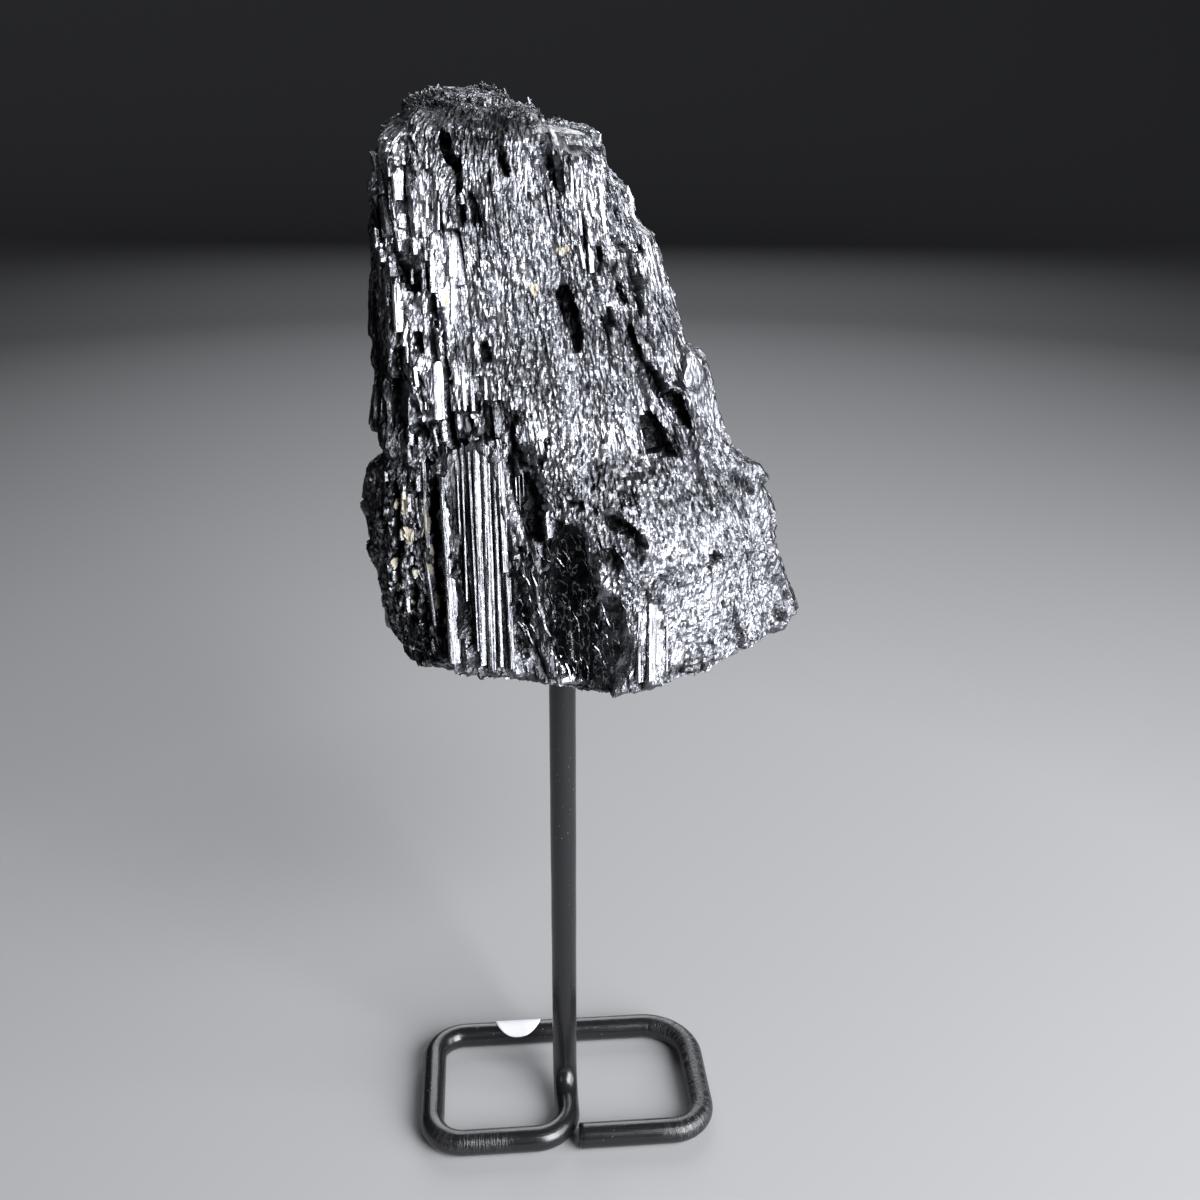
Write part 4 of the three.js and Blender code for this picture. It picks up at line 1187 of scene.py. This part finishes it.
# Clean crystals placed one by one on the front: x and z of the upper end, x and z of the lower
# end, width, how proud the face stands, and its turn to the right in degrees.
frontCrystals = np.array([
    (-23.4, 170.3, -22.8, 131, 2.7, 0.9, 12),
    (-21.2, 172.2, -21.1, 158, 0.45, 0.8, 20),
    (-20.1, 174.5, -20.1, 144.5, 0.55, 0.7, 18),
    (-18.8, 176, -18.1, 134, 0.7, 0.8, 17),
    (-17.4, 177.6, -17.2, 131, 1.65, 1.0, 19),
    (-15.55, 176.4, -15.35, 130, 1.95, 0.95, 20),
    (-14.0, 174.8, -13.6, 130.5, 1.1, 0.9, 21),
    (-12.6, 172.4, -12.2, 150.4, 1.65, 0.9, 18),
    (-11.8, 150, -11.3, 130, 1.4, 0.8, 17),
    (-9.7, 173.6, -9.5, 164, 0.34, 0.2, 15),
    (-9.0, 173.6, -8.8, 162, 0.24, 0.1, 15),
    (-8.2, 171, -8.0, 164, 0.3, 0.1, 20),
    (-27.8, 172, -27.6, 154, 1.1, 0.8, 24),
    (-28.2, 153, -26.9, 137, 1.0, 0.7, 20),
    (-30.2, 229.6, -29.9, 226.8, 1.9, 0.9, 18),
    (-29.9, 226.4, -29.9, 221, 2.4, 1.1, 18),
    (-27.9, 226.5, -27.8, 222, 1.1, 1.0, 17),
    (-33.2, 226, -32.9, 221.5, 1.4, 1.5, 22),
    (-33.0, 221, -32.2, 214.5, 1.7, 1.5, 22),
    (-34.9, 215.4, -34.6, 211.8, 1.6, 1.8, 22),
    (-33.9, 213.2, -33.6, 209.4, 1.8, 1.7, 21),
    (-32, 211, -31.8, 207, 1.9, 1.5, 20),
    (-34.4, 229, -34.2, 226.6, 1.2, 1.3, 24),
    (-26.8, 229.6, -26.7, 226, 0.9, 0.9, 18),
    (-24.6, 229.5, -24.5, 226.5, 0.8, 0.8, 17),
    (-22.8, 226, -22.8, 222.8, 0.9, 0.8, 17),
    (-27.4, 214.5, -27.3, 211.6, 1.2, 1.0, 18),
    (-30.4, 214.8, -30.2, 212.2, 1.3, 1.1, 20),
    (-28.2, 209, -28.3, 205.8, 0.8, 1.0, 18),
    (-27.9, 202, -27.9, 197.5, 0.9, 0.9, 18),
    (-33.4, 206, -33.3, 201.5, 0.9, 1.4, 22),
    (-28.9, 229.5, -28.7, 227, 1.2, 0.9, 18),
    (-25.7, 217.5, -25.5, 214.6, 1.0, 0.8, 18),
    (-18.4, 223, -18.2, 220.5, 1.2, 0.7, 17),
    (-29.4, 218.9, -29.5, 216.1, 2.0, 0.9, 20),
    (-20.4, 214.5, -20.5, 207.6, 2.2, 0.8, 17),
    (-25.4, 215.4, -25.2, 210.5, 1.0, 0.7, 18),
    (-25.9, 225.8, -25.6, 222.2, 1.0, 0.6, 17),
    (-31.2, 206.3, -31.2, 197.2, 2.2, 1.7, 21),
    (-28.8, 202.6, -30.5, 194.8, 1.4, 1.6, 20),
    (-28.6, 191.4, -28.3, 187.2, 1.1, 1.1, 20),
    (-21.3, 187.5, -21.1, 182.3, 1.3, 0.8, 17),
    (-19.4, 189.5, -19.2, 182.8, 0.9, 0.8, 17),
    (-24.1, 192.4, -24.1, 180.8, 2.5, 1.1, 18),
    (-23.3, 180.4, -23.2, 176.3, 1.5, 0.9, 18),
    (-29.8, 191, -28.7, 185.5, 1.0, 0.9, 20),
    (-24.3, 212.6, -24.3, 205, 1.1, 0.9, 18),
    (-25.8, 212.4, -26, 204.9, 0.9, 0.8, 17),
    (-26.4, 192, -26.7, 182.5, 0.6, 0.7, 20),
    (-25.1, 186.3, -25.0, 182, 0.7, 0.7, 18),
    (-25.5, 179.4, -24.7, 175, 0.8, 0.7, 18),
    (-17.8, 189.5, -17.5, 182.5, 1.0, 0.7, 17),
    (-16.7, 195.2, -16.7, 189.2, 0.9, 0.7, 17),
    (-19.2, 205.1, -18.9, 201, 0.8, 0.6, 16),
    (-34.1, 195, -32.0, 191.7, 0.7, 0.7, 24),
    (-16.4, 186.2, -16.5, 184.1, 1.4, 0.8, 18),
    (3.2, 213, 4.0, 208.5, 1.0, 0.8, 16),
    (5.1, 213.5, 5.5, 207.8, 1.4, 0.8, 17),
    (6.8, 224.3, 8.0, 214.7, 1.0, 0.8, 19),
    (5.0, 222.2, 5.8, 217.8, 1.0, 0.7, 18),
    (-1.5, 232.4, -0.8, 229.8, 1.6, 0.7, 17),
    (12.5, 221.9, 13.2, 219.3, 1.5, 0.7, 22),
    (16.4, 204.6, 18.4, 199.3, 1.0, 0.7, 22),
    (-3.6, 163, -3.4, 157.2, 1.7, 0.9, 17),
    (14.9, 143.8, 14.9, 126.8, 2.0, 0.6, 28),
    (17.2, 144.3, 17.2, 127.2, 2.5, 0.7, 29),
    (20.3, 149, 20.4, 128.5, 0.7, 0.6, 25),
    (-34.4, 226, -34.0, 218.5, 0.9, 0.7, 26),
    (-31.6, 229.5, -31.4, 225, 0.8, 0.7, 20),
    (-20.6, 206.5, -20.9, 199, 0.9, 0.6, 16),
    (-29.5, 199, -29.6, 191.5, 0.9, 0.7, 18),
    (-19.0, 188, -19.2, 182.5, 0.9, 0.7, 18),
    (-15.0, 189, -15.1, 184.5, 0.9, 0.6, 16),
    (-12.4, 188.5, -12.5, 184.5, 0.8, 0.6, 18),
    (-26.8, 220.5, -26.9, 216.5, 0.8, 0.6, 18),
    (-24.6, 224.5, -24.8, 218, 0.9, 0.6, 17),
    (-22.5, 221, -22.8, 216, 0.7, 0.6, 17),
    (-19.9, 224, -20.1, 218.5, 0.8, 0.5, 16),
    (-13.8, 222, -14.0, 217.5, 0.8, 0.5, 16),
    (-8.6, 227, -8.7, 221.5, 0.9, 0.6, 17),
    (-6.6, 228, -6.7, 222.5, 0.7, 0.6, 19),
    (-4.8, 229.5, -4.6, 224.5, 0.8, 0.6, 16),
    (1.8, 227.5, 1.9, 222.5, 0.8, 0.6, 16),
    (3.6, 228, 3.8, 223, 0.9, 0.6, 17),
    (8.2, 229.5, 8.4, 226.2, 1.0, 0.7, 22),
    (6.2, 229, 6.4, 225.5, 0.8, 0.6, 20),
    (3.3, 219.5, 3.6, 214.5, 0.9, 0.5, 17),
    (-29.0, 169.0, -29.1, 165.5, 1.3, 1.0, 20),
    (-29.6, 163.8, -29.2, 158.7, 1.1, 1.0, 19),
    (-30.5, 149.3, -30.7, 146.7, 1.5, 1.0, 20),
    (-31.0, 164.6, -31.1, 161.2, 1.2, 1.1, 20),
    (-29.9, 177.7, -30.1, 174.8, 1.6, 1.0, 18),
    (-24.8, 172.3, -24.9, 169.6, 1.1, 0.9, 18),
    (-31.2, 152.3, -31.3, 149.9, 1.2, 1.1, 21),
    (-35.2, 137.9, -35.5, 135.2, 0.9, 1.3, 24),
    (-32.1, 166.5, -32.2, 163.5, 1.0, 1.2, 22),
    (-33.0, 157.1, -33.1, 154.5, 1.1, 1.2, 22),
    (-26.4, 142.5, -26.1, 137.7, 0.8, 0.8, 18),
    (-32.6, 142.2, -32.6, 138.8, 1.2, 1.2, 22),
    (-35.1, 148.3, -35.2, 146.0, 1.1, 1.3, 24),
    (-27.8, 133.5, -27.5, 130.6, 0.9, 0.9, 19),
    (-35.6, 168.7, -35.6, 166.6, 1.1, 1.3, 24),
])


def onFrontCrystals(points):
    # 1 where a point of the front lies behind one of the crystals placed one by one.
    covered = np.zeros(points.shape[:-1])
    for topX, topZ, lowX, lowZ, width, _, _ in frontCrystals:
        away, _ = nearLine(points, [(topX, topZ), (lowX, lowZ)])
        covered = np.maximum(covered, away < width / 2 + 0.15)
    return covered * (points[..., 1] < 4)


crystalFace = {
    "lines": 9,  # across a face, and rows up it
    "rows": 7,
    "scoring": (0.04, 0.065),  # of a loose crystal and of the block's
    "shine": (0.32, 0.9, 0.3),  # of a loose crystal, one at a bright place, raised there as painted light, and the block's
    "thickness": 0.9,
    "backLean": (0.14, 0.8),  # for each millimetre of length, and at most
    "settle": 0.45,  # how far it sinks back from where its edges would just clear
    "lift": 0.4,  # how far the fine steps of a face make it look up, at the stone's foot
    "liftFall": 0.002,  # and how much less with each millimetre up
}


def makeFrontCrystals(surface, normals):
    # A scored face carried along each crystal: lines across it stand in or out by a random
    # amount, the face steps at random heights, and two buried corners close the back.
    front = surface[(normals[..., 1] < -0.1) & (surface[..., 1] < 4)]
    topX, topZ, lowX, lowZ, width, proud, turn = frontCrystals.T
    turn = np.radians(turn)
    ends = []
    for x, z in ((lowX, lowZ), (topX, topZ)):
        y = np.full(len(width), 1e9)
        for side in (-0.5, -0.2, 0.2, 0.5):
            # as far forward as the face must be for this stretch of it to clear the skin
            spot = x + side * width * np.cos(turn)
            away = np.hypot(front[:, 0] - spot[:, None], front[:, 2] - z[:, None])
            nearest = np.argpartition(away, 6, axis=1)[:, :6]
            y = np.minimum(y, front[nearest, 1].mean(1) - side * width * np.sin(turn))
        ends.append(np.stack([x, y + crystalFace["settle"], z], -1))
    low, high = ends
    # the short ones lean back a little, so that their faces look up
    backLean, mostLean = crystalFace["backLean"]
    lean = 0.5 * np.minimum(backLean * np.linalg.norm(high - low, axis=-1), mostLean)
    high[:, 1] += lean
    low[:, 1] -= lean
    axis = unit(high - low)
    outward = np.stack([np.sin(turn), -np.cos(turn), 0 * turn], -1)
    outward = unit(outward - (outward * axis).sum(-1, keepdims=True) * axis)
    across = np.cross(axis, outward)  # to the right of someone facing the stone
    lines, rows = crystalFace["lines"], crystalFace["rows"]
    label = np.arange(len(width))[:, None, None]
    row = np.arange(rows)[None, :, None]
    line = np.arange(lines)[None, None, :]
    spot = (line / (lines - 1) - 0.5) + 0.5 / lines * (labelNoise(301, label, line) - 0.5)
    middle = (low + high) / 2
    scoring = spread(inPlaces(middle, blockPlaces), *crystalFace["scoring"]) * np.minimum(width, 1.6)
    scored = scoring[:, None, None] * labelNoise(302, label, line)
    group = np.floor(line / 3 + labelNoise(307, label))
    stepped = 1.8 * scoring[:, None, None] * labelNoise(303, label, row, group)
    edge = np.abs(spot) * 2
    depth = -scored - stepped - 0.35 * edge ** 6 * crystalFace["thickness"]
    between = (row > 0) & (row < rows - 1)
    share = row / (rows - 1) + 0.8 / rows * (labelNoise(304, label, row, line) - 0.5) * between
    ragged = 0.8 * np.minimum(width, 2)[:, None, None] * labelNoise(305, label, group)
    along = share * (np.linalg.norm(high - low, axis=-1)[:, None, None] - ragged)
    spot = spot * width[:, None, None] * spread(labelNoise(308, label, row), 0.82, 1)
    along = np.broadcast_to(along, depth.shape)
    # the prouder ones are thicker, so that every back stays bedded in the stone
    back = -crystalFace["thickness"] - 0.4 * width - 1.3 * (proud - 0.9).clip(0)
    back = np.broadcast_to(back[:, None, None], depth.shape[:2] + (1,))
    spot = np.concatenate([spot, 0.8 * spot[..., -1:], 0.8 * spot[..., :1]], -1)
    depth = np.concatenate([depth, back, back], -1)
    along = np.concatenate([along, along[..., -1:], along[..., :1]], -1)
    points = low[:, None, None] + along[..., None] * axis[:, None, None]
    points = points + spot[..., None] * across[:, None, None]
    points = points + (depth + proud[:, None, None])[..., None] * outward[:, None, None]
    points = points.reshape(-1, 3)
    usual, bright, inBlock = crystalFace["shine"]
    # painted light: the shine is raised at the bright places
    shine = spread(inPlaces(middle, paintedLightPlaces), usual, bright)
    shine = spread(inPlaces(middle, blockPlaces), shine, inBlock)[:, None, None]
    shine = np.broadcast_to(shine * (0.75 + 0.25 * labelNoise(306, label, line)), (len(width), rows, lines))
    shine = np.concatenate([shine, 0.1 + 0 * shine[..., :2]], -1).ravel()
    lift = crystalFace["lift"] - crystalFace["liftFall"] * (points[:, 2:] - footPlane)
    attributes = stoneAttributes(points, shine, lift * (0, 0, 1), False)
    faces = tubeFaces(len(width), rows, lines + 2)
    makePiece("frontCrystals", points, faces, stoneMaterial, attributes, "tourmaline")


# Thin bright creases in the glassy hollow: width, then the points x, z along each.
creases = [
    (0.6, [(-6.8, 151), (-5.8, 146.3), (-5.1, 141.6), (-4.3, 138.1), (-3, 135.6), (-1.5, 132.5), (1.2, 125.4)]),
    (0.9, [(-5.5, 145), (-5.0, 141.6), (-4.4, 138.4)]),
    (0.28, [(-9.1, 152.5), (-8, 148.8), (-7, 145.8)]),
    (0.26, [(1.7, 141), (2.7, 136.8), (3, 132.9)]),
    (0.24, [(5.4, 134.1), (6.4, 132.8), (6.8, 130.8)]),
    (0.45, [(-3.2, 133.3), (-2.4, 130.7), (-1.8, 127)]),
    (0.22, [(-3.8, 146.9), (-3.1, 145.1), (-2.3, 143.3)]),
    (0.5, [(-7.9, 157), (-7.5, 154.7), (-7.9, 152.6)]),
    (0.3, [(-5.4, 155), (-4.9, 153.5), (-4.4, 152.6)]),
    (0.25, [(-10.6, 144.6), (-9.3, 144.2), (-8.9, 142.6), (-9.5, 141.2)]),
    (0.25, [(-10.6, 144.6), (-11.4, 142.6), (-10.8, 141.2), (-9.5, 141.2)]),
    (0.35, [(-9.9, 140), (-8.6, 137.5), (-8, 134.5)]),
    (0.3, [(-9.4, 139.6), (-8.1, 138.2), (-7.4, 135)]),
    (0.55, [(9.9, 155.4), (11.3, 153.4), (12.6, 150.8), (13.9, 147.8)]),
    (0.4, [(12, 140.5), (12.7, 137), (12.1, 134), (11.2, 131)]),
    (0.3, [(13.4, 135), (12.4, 132.5), (11.8, 129.5)]),
    (0.35, [(6.9, 143.5), (8, 140.2), (8.9, 138.2)]),
    (0.3, [(4.2, 158.2), (4.6, 153), (5.6, 148.5)]),
    (0.3, [(1.6, 131), (2.2, 129), (2.0, 127)]),
    (0.25, [(7.6, 131), (7.9, 129), (7.4, 127)]),
]
creaseShape = {
    "steps": 15,
    "count": 110,  # loose short ones tried
    "across": (-9.5, 12),  # where the loose ones are strewn, and which way they lean
    "up": (126, 158),
    "lean": (-0.1, 0.75),
    "length": (1.2, 4.2),
    "width": (0.14, 0.34),
    "proud": 0.5,  # of its half width
    "sunk": 0.5,
    "shine": (0.6, 1),
}


def makeCreases(surface):
    # Each crease is a low three-cornered rib laid on the front along its course, thin at the
    # ends, with a fourth corner buried behind it. The loose short ones are strewn over the
    # gaps of the hollow, most of them leaning to the right as they fall.
    steps = creaseShape["steps"]
    share = np.linspace(0, 1, steps)
    courses, widths = [], []
    for width, line in creases:
        line = np.array(line, float)
        length = np.concatenate([[0], np.cumsum(np.linalg.norm(np.diff(line, axis=0), axis=1))])
        courses.append(np.stack([np.interp(share * length[-1], length, line[:, k]) for k in (0, 1)], -1))
        widths.append(width)
    number = np.arange(creaseShape["count"])
    placeX, placeZ = goldenPlaces(number)
    x, z = spread(placeX, *creaseShape["across"]), spread(placeZ, *creaseShape["up"])
    length = spread(labelNoise(401, number) ** 2, *creaseShape["length"])
    lean = spread(labelNoise(402, number), *creaseShape["lean"])
    loose = np.stack([
        x[:, None] + length[:, None] * np.sin(lean)[:, None] * share,
        z[:, None] - length[:, None] * np.cos(lean)[:, None] * share,
    ], -1)
    home = np.stack([x, 0 * x, z], -1)
    kept = labelNoise(403, number) < inShapes(home, gapShapes[:4])[1] * np.where(x < -2.5, 1, 0.45)
    courses = np.concatenate([np.array(courses), loose[kept]])
    widths = np.concatenate([widths, spread(labelNoise(404, number), *creaseShape["width"])[kept]])
    flat = np.stack([courses[..., 0], 0 * courses[..., 0], courses[..., 1]], -1)
    flat[..., 0] += 0.35 * smoothNoise(81, flat, 2.2) + 0.12 * smoothNoise(82, flat, 0.7)
    front = surface[(surface[..., 1] < 0) & (np.abs(surface[..., 0] - 2) < 15) & (surface[..., 2] < 162)]
    away = np.hypot(front[:, 0] - flat[..., 0, None], front[:, 2] - flat[..., 2, None])
    nearest = np.argpartition(away, 5, axis=-1)[..., :5]
    flat[..., 1] = front[nearest, 1].min(-1)
    uneven = spread(smoothNoise(83, flat, 0.9), 0.75, 1.25)
    half = widths[:, None] / 2 * uneven * (0.15 + 0.85 * np.sin(np.pi * share) ** 0.5)
    along = np.gradient(flat, axis=1)
    across = unit(np.cross(along, (0, -1, 0)))
    across = across * np.sign(across[..., :1])
    out = np.array((0, -1, 0))
    proud, sunk = creaseShape["proud"] * half[..., None], creaseShape["sunk"]
    corners = np.stack([
        flat + half[..., None] * across,
        flat - 0.6 * half[..., None] * across + (0.06 + proud) * out,
        flat - half[..., None] * across - 0.1 * out,
        flat - sunk * out,
    ], 2)
    count = len(corners)
    points = corners[:, ::-1].reshape(-1, 3)
    # their corners go the other way round, so the faces are turned over to look outward
    faces = [group[:, ::-1] for group in tubeFaces(count, steps, 4)]
    shine = spread(labelNoise(405, np.arange(count)), *creaseShape["shine"])
    attributes = stoneAttributes(points, np.repeat(shine, steps * 4), (0, 0, 0))
    makePiece("creases", points, faces, stoneMaterial, attributes, "tourmaline")


surface, normals = makeSkin()
makeNeedles("needles", needles, surface, normals)
makeNeedles("flakes", flakes, surface, normals)
makeFrontCrystals(surface, normals)
makeCreases(surface)

rod = {
    "radius": 3.0,
    "sides": 48,
    "halfWidth": 33.4,  # of the loop, to the rod's centre line
    "halfDepth": 18.5,
    "bend": 8.0,
    "wideBend": 12.0,  # at the back right
    "postTop": 149.7,
    "cutX": 2.4,  # the sawn end beside the first bend
    "cutBevel": 0.35,
    "step": 1.2,  # along the straights
    "bendSteps": 14,
    "unevenness": 0.025,
}


def rodRoute():
    # Straights joined by quarter bends. Each bend is an arc that touches both straights:
    # middle + radius (sin t inward - cos t outward).
    low, wide, deep = rod["radius"], rod["halfWidth"], rod["halfDepth"]
    corners = np.array([
        (0, 0, rod["postTop"]), (0, 0, low), (0, -deep, low), (-wide, -deep, low),
        (-wide, deep, low), (wide, deep, low), (wide, -deep, low), (rod["cutX"], -deep, low),
    ])
    bends = [rod["bend"]] * 4 + [rod["wideBend"], rod["bend"]]
    headings = unit(np.diff(corners, axis=0))
    places, tangents = [], []
    start = corners[0]
    for inward, outward, corner, bend in zip(headings[:-1], headings[1:], corners[1:-1], bends):
        end = corner - bend * inward
        count = max(2, int(np.linalg.norm(end - start) / rod["step"]))
        places.append(start + np.linspace(0, 1, count, endpoint=False)[:, None] * (end - start))
        tangents.append(np.broadcast_to(inward, (count, 3)))
        turn = np.linspace(0, np.pi / 2, rod["bendSteps"], endpoint=False)[:, None]
        places.append(end + bend * outward + bend * (np.sin(turn) * inward - np.cos(turn) * outward))
        tangents.append(np.cos(turn) * inward + np.sin(turn) * outward)
        start = corner + bend * outward
    count = int(np.linalg.norm(corners[-1] - start) / rod["step"])
    places.append(start + np.linspace(0, 1, count)[:, None] * (corners[-1] - start))
    tangents.append(np.broadcast_to(headings[-1], (count, 3)))
    return np.concatenate(places), np.concatenate(tangents)


def makeRod():
    # A circle carried along the route: side x cos t + over x sin t, where side is the
    # tangent crossed with up and over is the tangent crossed with side. On the post and its
    # bend, which runs to the front, side is the way to the left.
    places, tangents = rodRoute()
    rising = np.abs(tangents[:, 2:]) > 0.01
    side = unit(np.where(rising, (-1.0, 0, 0), np.cross(tangents, (0, 0, 1.0))))
    over = np.cross(tangents, side)
    length = np.concatenate([[0], np.cumsum(np.linalg.norm(np.diff(places, axis=0), axis=1))])
    turn = np.linspace(0, 2 * np.pi, rod["sides"], endpoint=False)
    # both ends: a flat cut with a small bevel
    bevel = rod["cutBevel"]
    places = np.concatenate([places[:1], places, places[-1:]])
    side, over = [np.concatenate([v[:1], v, v[-1:]]) for v in (side, over)]
    length = np.concatenate([length[:1], length, length[-1:]])
    places[1] += bevel * tangents[0]
    places[-2] -= bevel * tangents[-1]
    reach = np.full(len(places), rod["radius"])
    reach[[0, -1]] -= bevel
    ring = np.cos(turn)[None, :, None] * side[:, None] + np.sin(turn)[None, :, None] * over[:, None]
    unevenness = rod["unevenness"] * smoothNoise(81, places, 9.0)
    points = places[:, None] + (reach + unevenness)[:, None, None] * ring
    rows, columns = points.shape[:2]
    around = np.broadcast_to(rod["radius"] * turn, (rows, columns))
    along = np.stack([around, np.broadcast_to(length[:, None], around.shape), 0 * around], -1)
    points, along = points.reshape(-1, 3), along.reshape(-1, 3)
    # scuffed at the right bar and its front corner, a little at the front left bend
    onTop = ease(points[:, 2], 1, 4)
    right = ease(points[:, 0], 20, 30) * onTop
    left = 0.5 * within(points[:, 0], -34, -18, 6) * ease(-points[:, 1], 12, 20) * onTop
    attributes = {"along": along, "scuffs": np.maximum(right, left)}
    makePiece("rod", points, tubeFaces(1, rows, columns), rodMaterial, attributes, "stand", smooth=True)


paper = {
    "radius": 6.0,
    "x": -11.4,
    "middle": 50,  # degrees up the rod's back
    "inner": 3.06,  # from the rod's centre line
    "thickness": 0.14,
    "unevenRim": (0.008, 0.006),
    "lift": (0.16, 0.05),  # of the upper and the lower edge
    "rings": 16,
    "rays": 72,
}


def roundBar(x, angle, reach):
    # The place at an angle round the back bar and a reach from its centre line.
    y = rod["halfDepth"] + reach * np.cos(angle)
    return np.stack([x, y, rod["radius"] + reach * np.sin(angle)], -1)


def makePaperDot():
    # A disc whose width runs along the back bar and whose height becomes an angle round it:
    # angle = middle + height / reach. Its rim is a little uneven, and its edges lift. The
    # rows of its one closed grid go from the outer middle out to the rim and back inside.
    ray = np.linspace(0, 2 * np.pi, paper["rays"], endpoint=False)
    slow, quick = paper["unevenRim"]
    rim = paper["radius"] * (1 + slow * np.sin(3 * ray + 1) + quick * np.sin(7 * ray))
    share = np.linspace(0, 1, paper["rings"] + 1)[1:, None]
    middle = math.radians(paper["middle"])
    reach = paper["inner"] + paper["thickness"] / 2
    width, height = share * rim * np.cos(ray), share * rim * np.sin(ray)
    upper, lower = paper["lift"]
    lift = upper * ease(height, 3.5, 6.0) + lower * ease(-height, 4.5, 6.0)
    sheets, tips = [], []
    for way in (1, -1):
        out = reach + lift + way * paper["thickness"] / 2 * (1 - 0.3 * (share == 1))
        sheets.append(roundBar(paper["x"] + width, middle + height / reach, out))
        tips.append(roundBar(paper["x"], middle, reach + way * paper["thickness"] / 2))
    grid = np.concatenate([sheets[0], sheets[1][::-1]])
    rows, columns = grid.shape[:2]
    points = np.concatenate([grid.reshape(-1, 3), tips])
    makePiece("paperDot", points, closedFaces(rows, columns), paperMaterial, None, "paper_dot", smooth=True)


makeRod()
makePaperDot()

studio = {
    "floorReach": 1.5,  # metres of flat floor before it sweeps up
    "sweep": 0.9,
    "wall": 1.6,
    "rays": 128,
    "rings": 30,
    "sweepRings": 24,
    "pale": ((0.3, 0.3, 0.305, 1), (0.33, 0.33, 0.335, 1)),
    "away": (0.06, 0.06, 0.062, 1),  # the dim colour of the painted fall-off, far from the stand
    "paintedPoolReach": (0.22, 1.0),
    "world": ((0.7, 0.74, 0.82, 1), 0.06),
    "key": {"place": (0.52, -0.66, 0.5), "size": (0.5, 0.9), "power": 25, "colour": (0.95, 0.97, 1.0)},
    "side": {"place": (0.92, -0.34, 0.5), "size": (0.5, 0.9), "power": 10, "colour": (0.95, 0.97, 1.0)},
    "fill": {"place": (-0.9, -0.8, 0.7), "size": (0.5, 0.5), "power": 0.8, "colour": (1, 1, 1)},
    "rim": {"place": (0.1, 1.1, 0.7), "size": (0.9, 0.9), "power": 11, "colour": (0.95, 0.97, 1.0)},
    "aim": (0, 0, 0.17),
}


def makeBackdrop():
    # A round pale floor that sweeps up into a wall all round: a quarter circle between the
    # flat part and the upright part of the profile, turned about the upright axis.
    n = Nodes("palePaint")
    place = n.add("ShaderNodeTexCoord").outputs["Object"]
    paint = n.mixColour(n.noise(place, 3.0), *studio["pale"])
    away = n.add("ShaderNodeVectorMath", {0: place}, operation="LENGTH").outputs["Value"]
    # painted pool of light: pale round the stand, fading to the dim colour away from it
    colour = n.mixColour(n.ramp(away, *studio["paintedPoolReach"]), paint, studio["away"])
    n.put(n.shader.inputs["Base Color"], colour)
    n.put(n.shader.inputs["Roughness"], 0.95)
    n.put(n.shader.inputs["Specular IOR Level"], 0.1)
    flat, sweep, wall = studio["floorReach"], studio["sweep"], studio["wall"]
    level = np.linspace(0.02, flat, studio["rings"])[:-1]
    bend = np.linspace(0, np.pi / 2, studio["sweepRings"])
    out = np.concatenate([level, flat + sweep * np.sin(bend), [flat + sweep]])[:, None]
    up = np.concatenate([0 * level, sweep - sweep * np.cos(bend), [sweep + wall]])[:, None]
    turn = np.linspace(0, 2 * np.pi, studio["rays"], endpoint=False)
    grid = np.stack([out * np.cos(turn), out * np.sin(turn), up + 0 * turn], -1)
    points = np.concatenate([grid.reshape(-1, 3), [(0, 0, 0)]])
    middle = capFaces(np.arange(len(turn)), len(points) - 1)
    mesh = bpy.data.meshes.new("backdrop")
    faces = gridFaces(len(out), len(turn), True)[:, ::-1].tolist() + middle.tolist()
    mesh.from_pydata(points.tolist(), [], faces)
    mesh.polygons.foreach_set("use_smooth", np.ones(len(faces), bool))
    mesh.materials.append(n.material)
    backdrop = bpy.data.objects.new("backdrop", mesh)
    bpy.context.collection.objects.link(backdrop)


def makeLight(name):
    # A rectangle of light that faces the aim.
    setting = studio[name]
    lamp = bpy.data.lights.new(name, "AREA")
    lamp.shape = "RECTANGLE"
    lamp.size, lamp.size_y = setting["size"]
    lamp.energy = setting["power"]
    lamp.color = setting["colour"]
    light = bpy.data.objects.new(name, lamp)
    light.location = setting["place"]
    away = Vector(setting["place"]) - Vector(studio["aim"])
    light.rotation_euler = away.to_track_quat("Z", "Y").to_euler()
    bpy.context.collection.objects.link(light)


def makeWorld():
    # A dim even light from everywhere.
    world = bpy.data.worlds.new("studio")
    world.use_nodes = True
    background = world.node_tree.nodes["Background"]
    background.inputs["Color"].default_value, background.inputs["Strength"].default_value = studio["world"]
    bpy.context.scene.world = world
    bpy.context.scene.view_settings.view_transform = "Standard"


makeBackdrop()
makeWorld()
for name in ("key", "side", "fill", "rim"):
    makeLight(name)
print("studio ready")
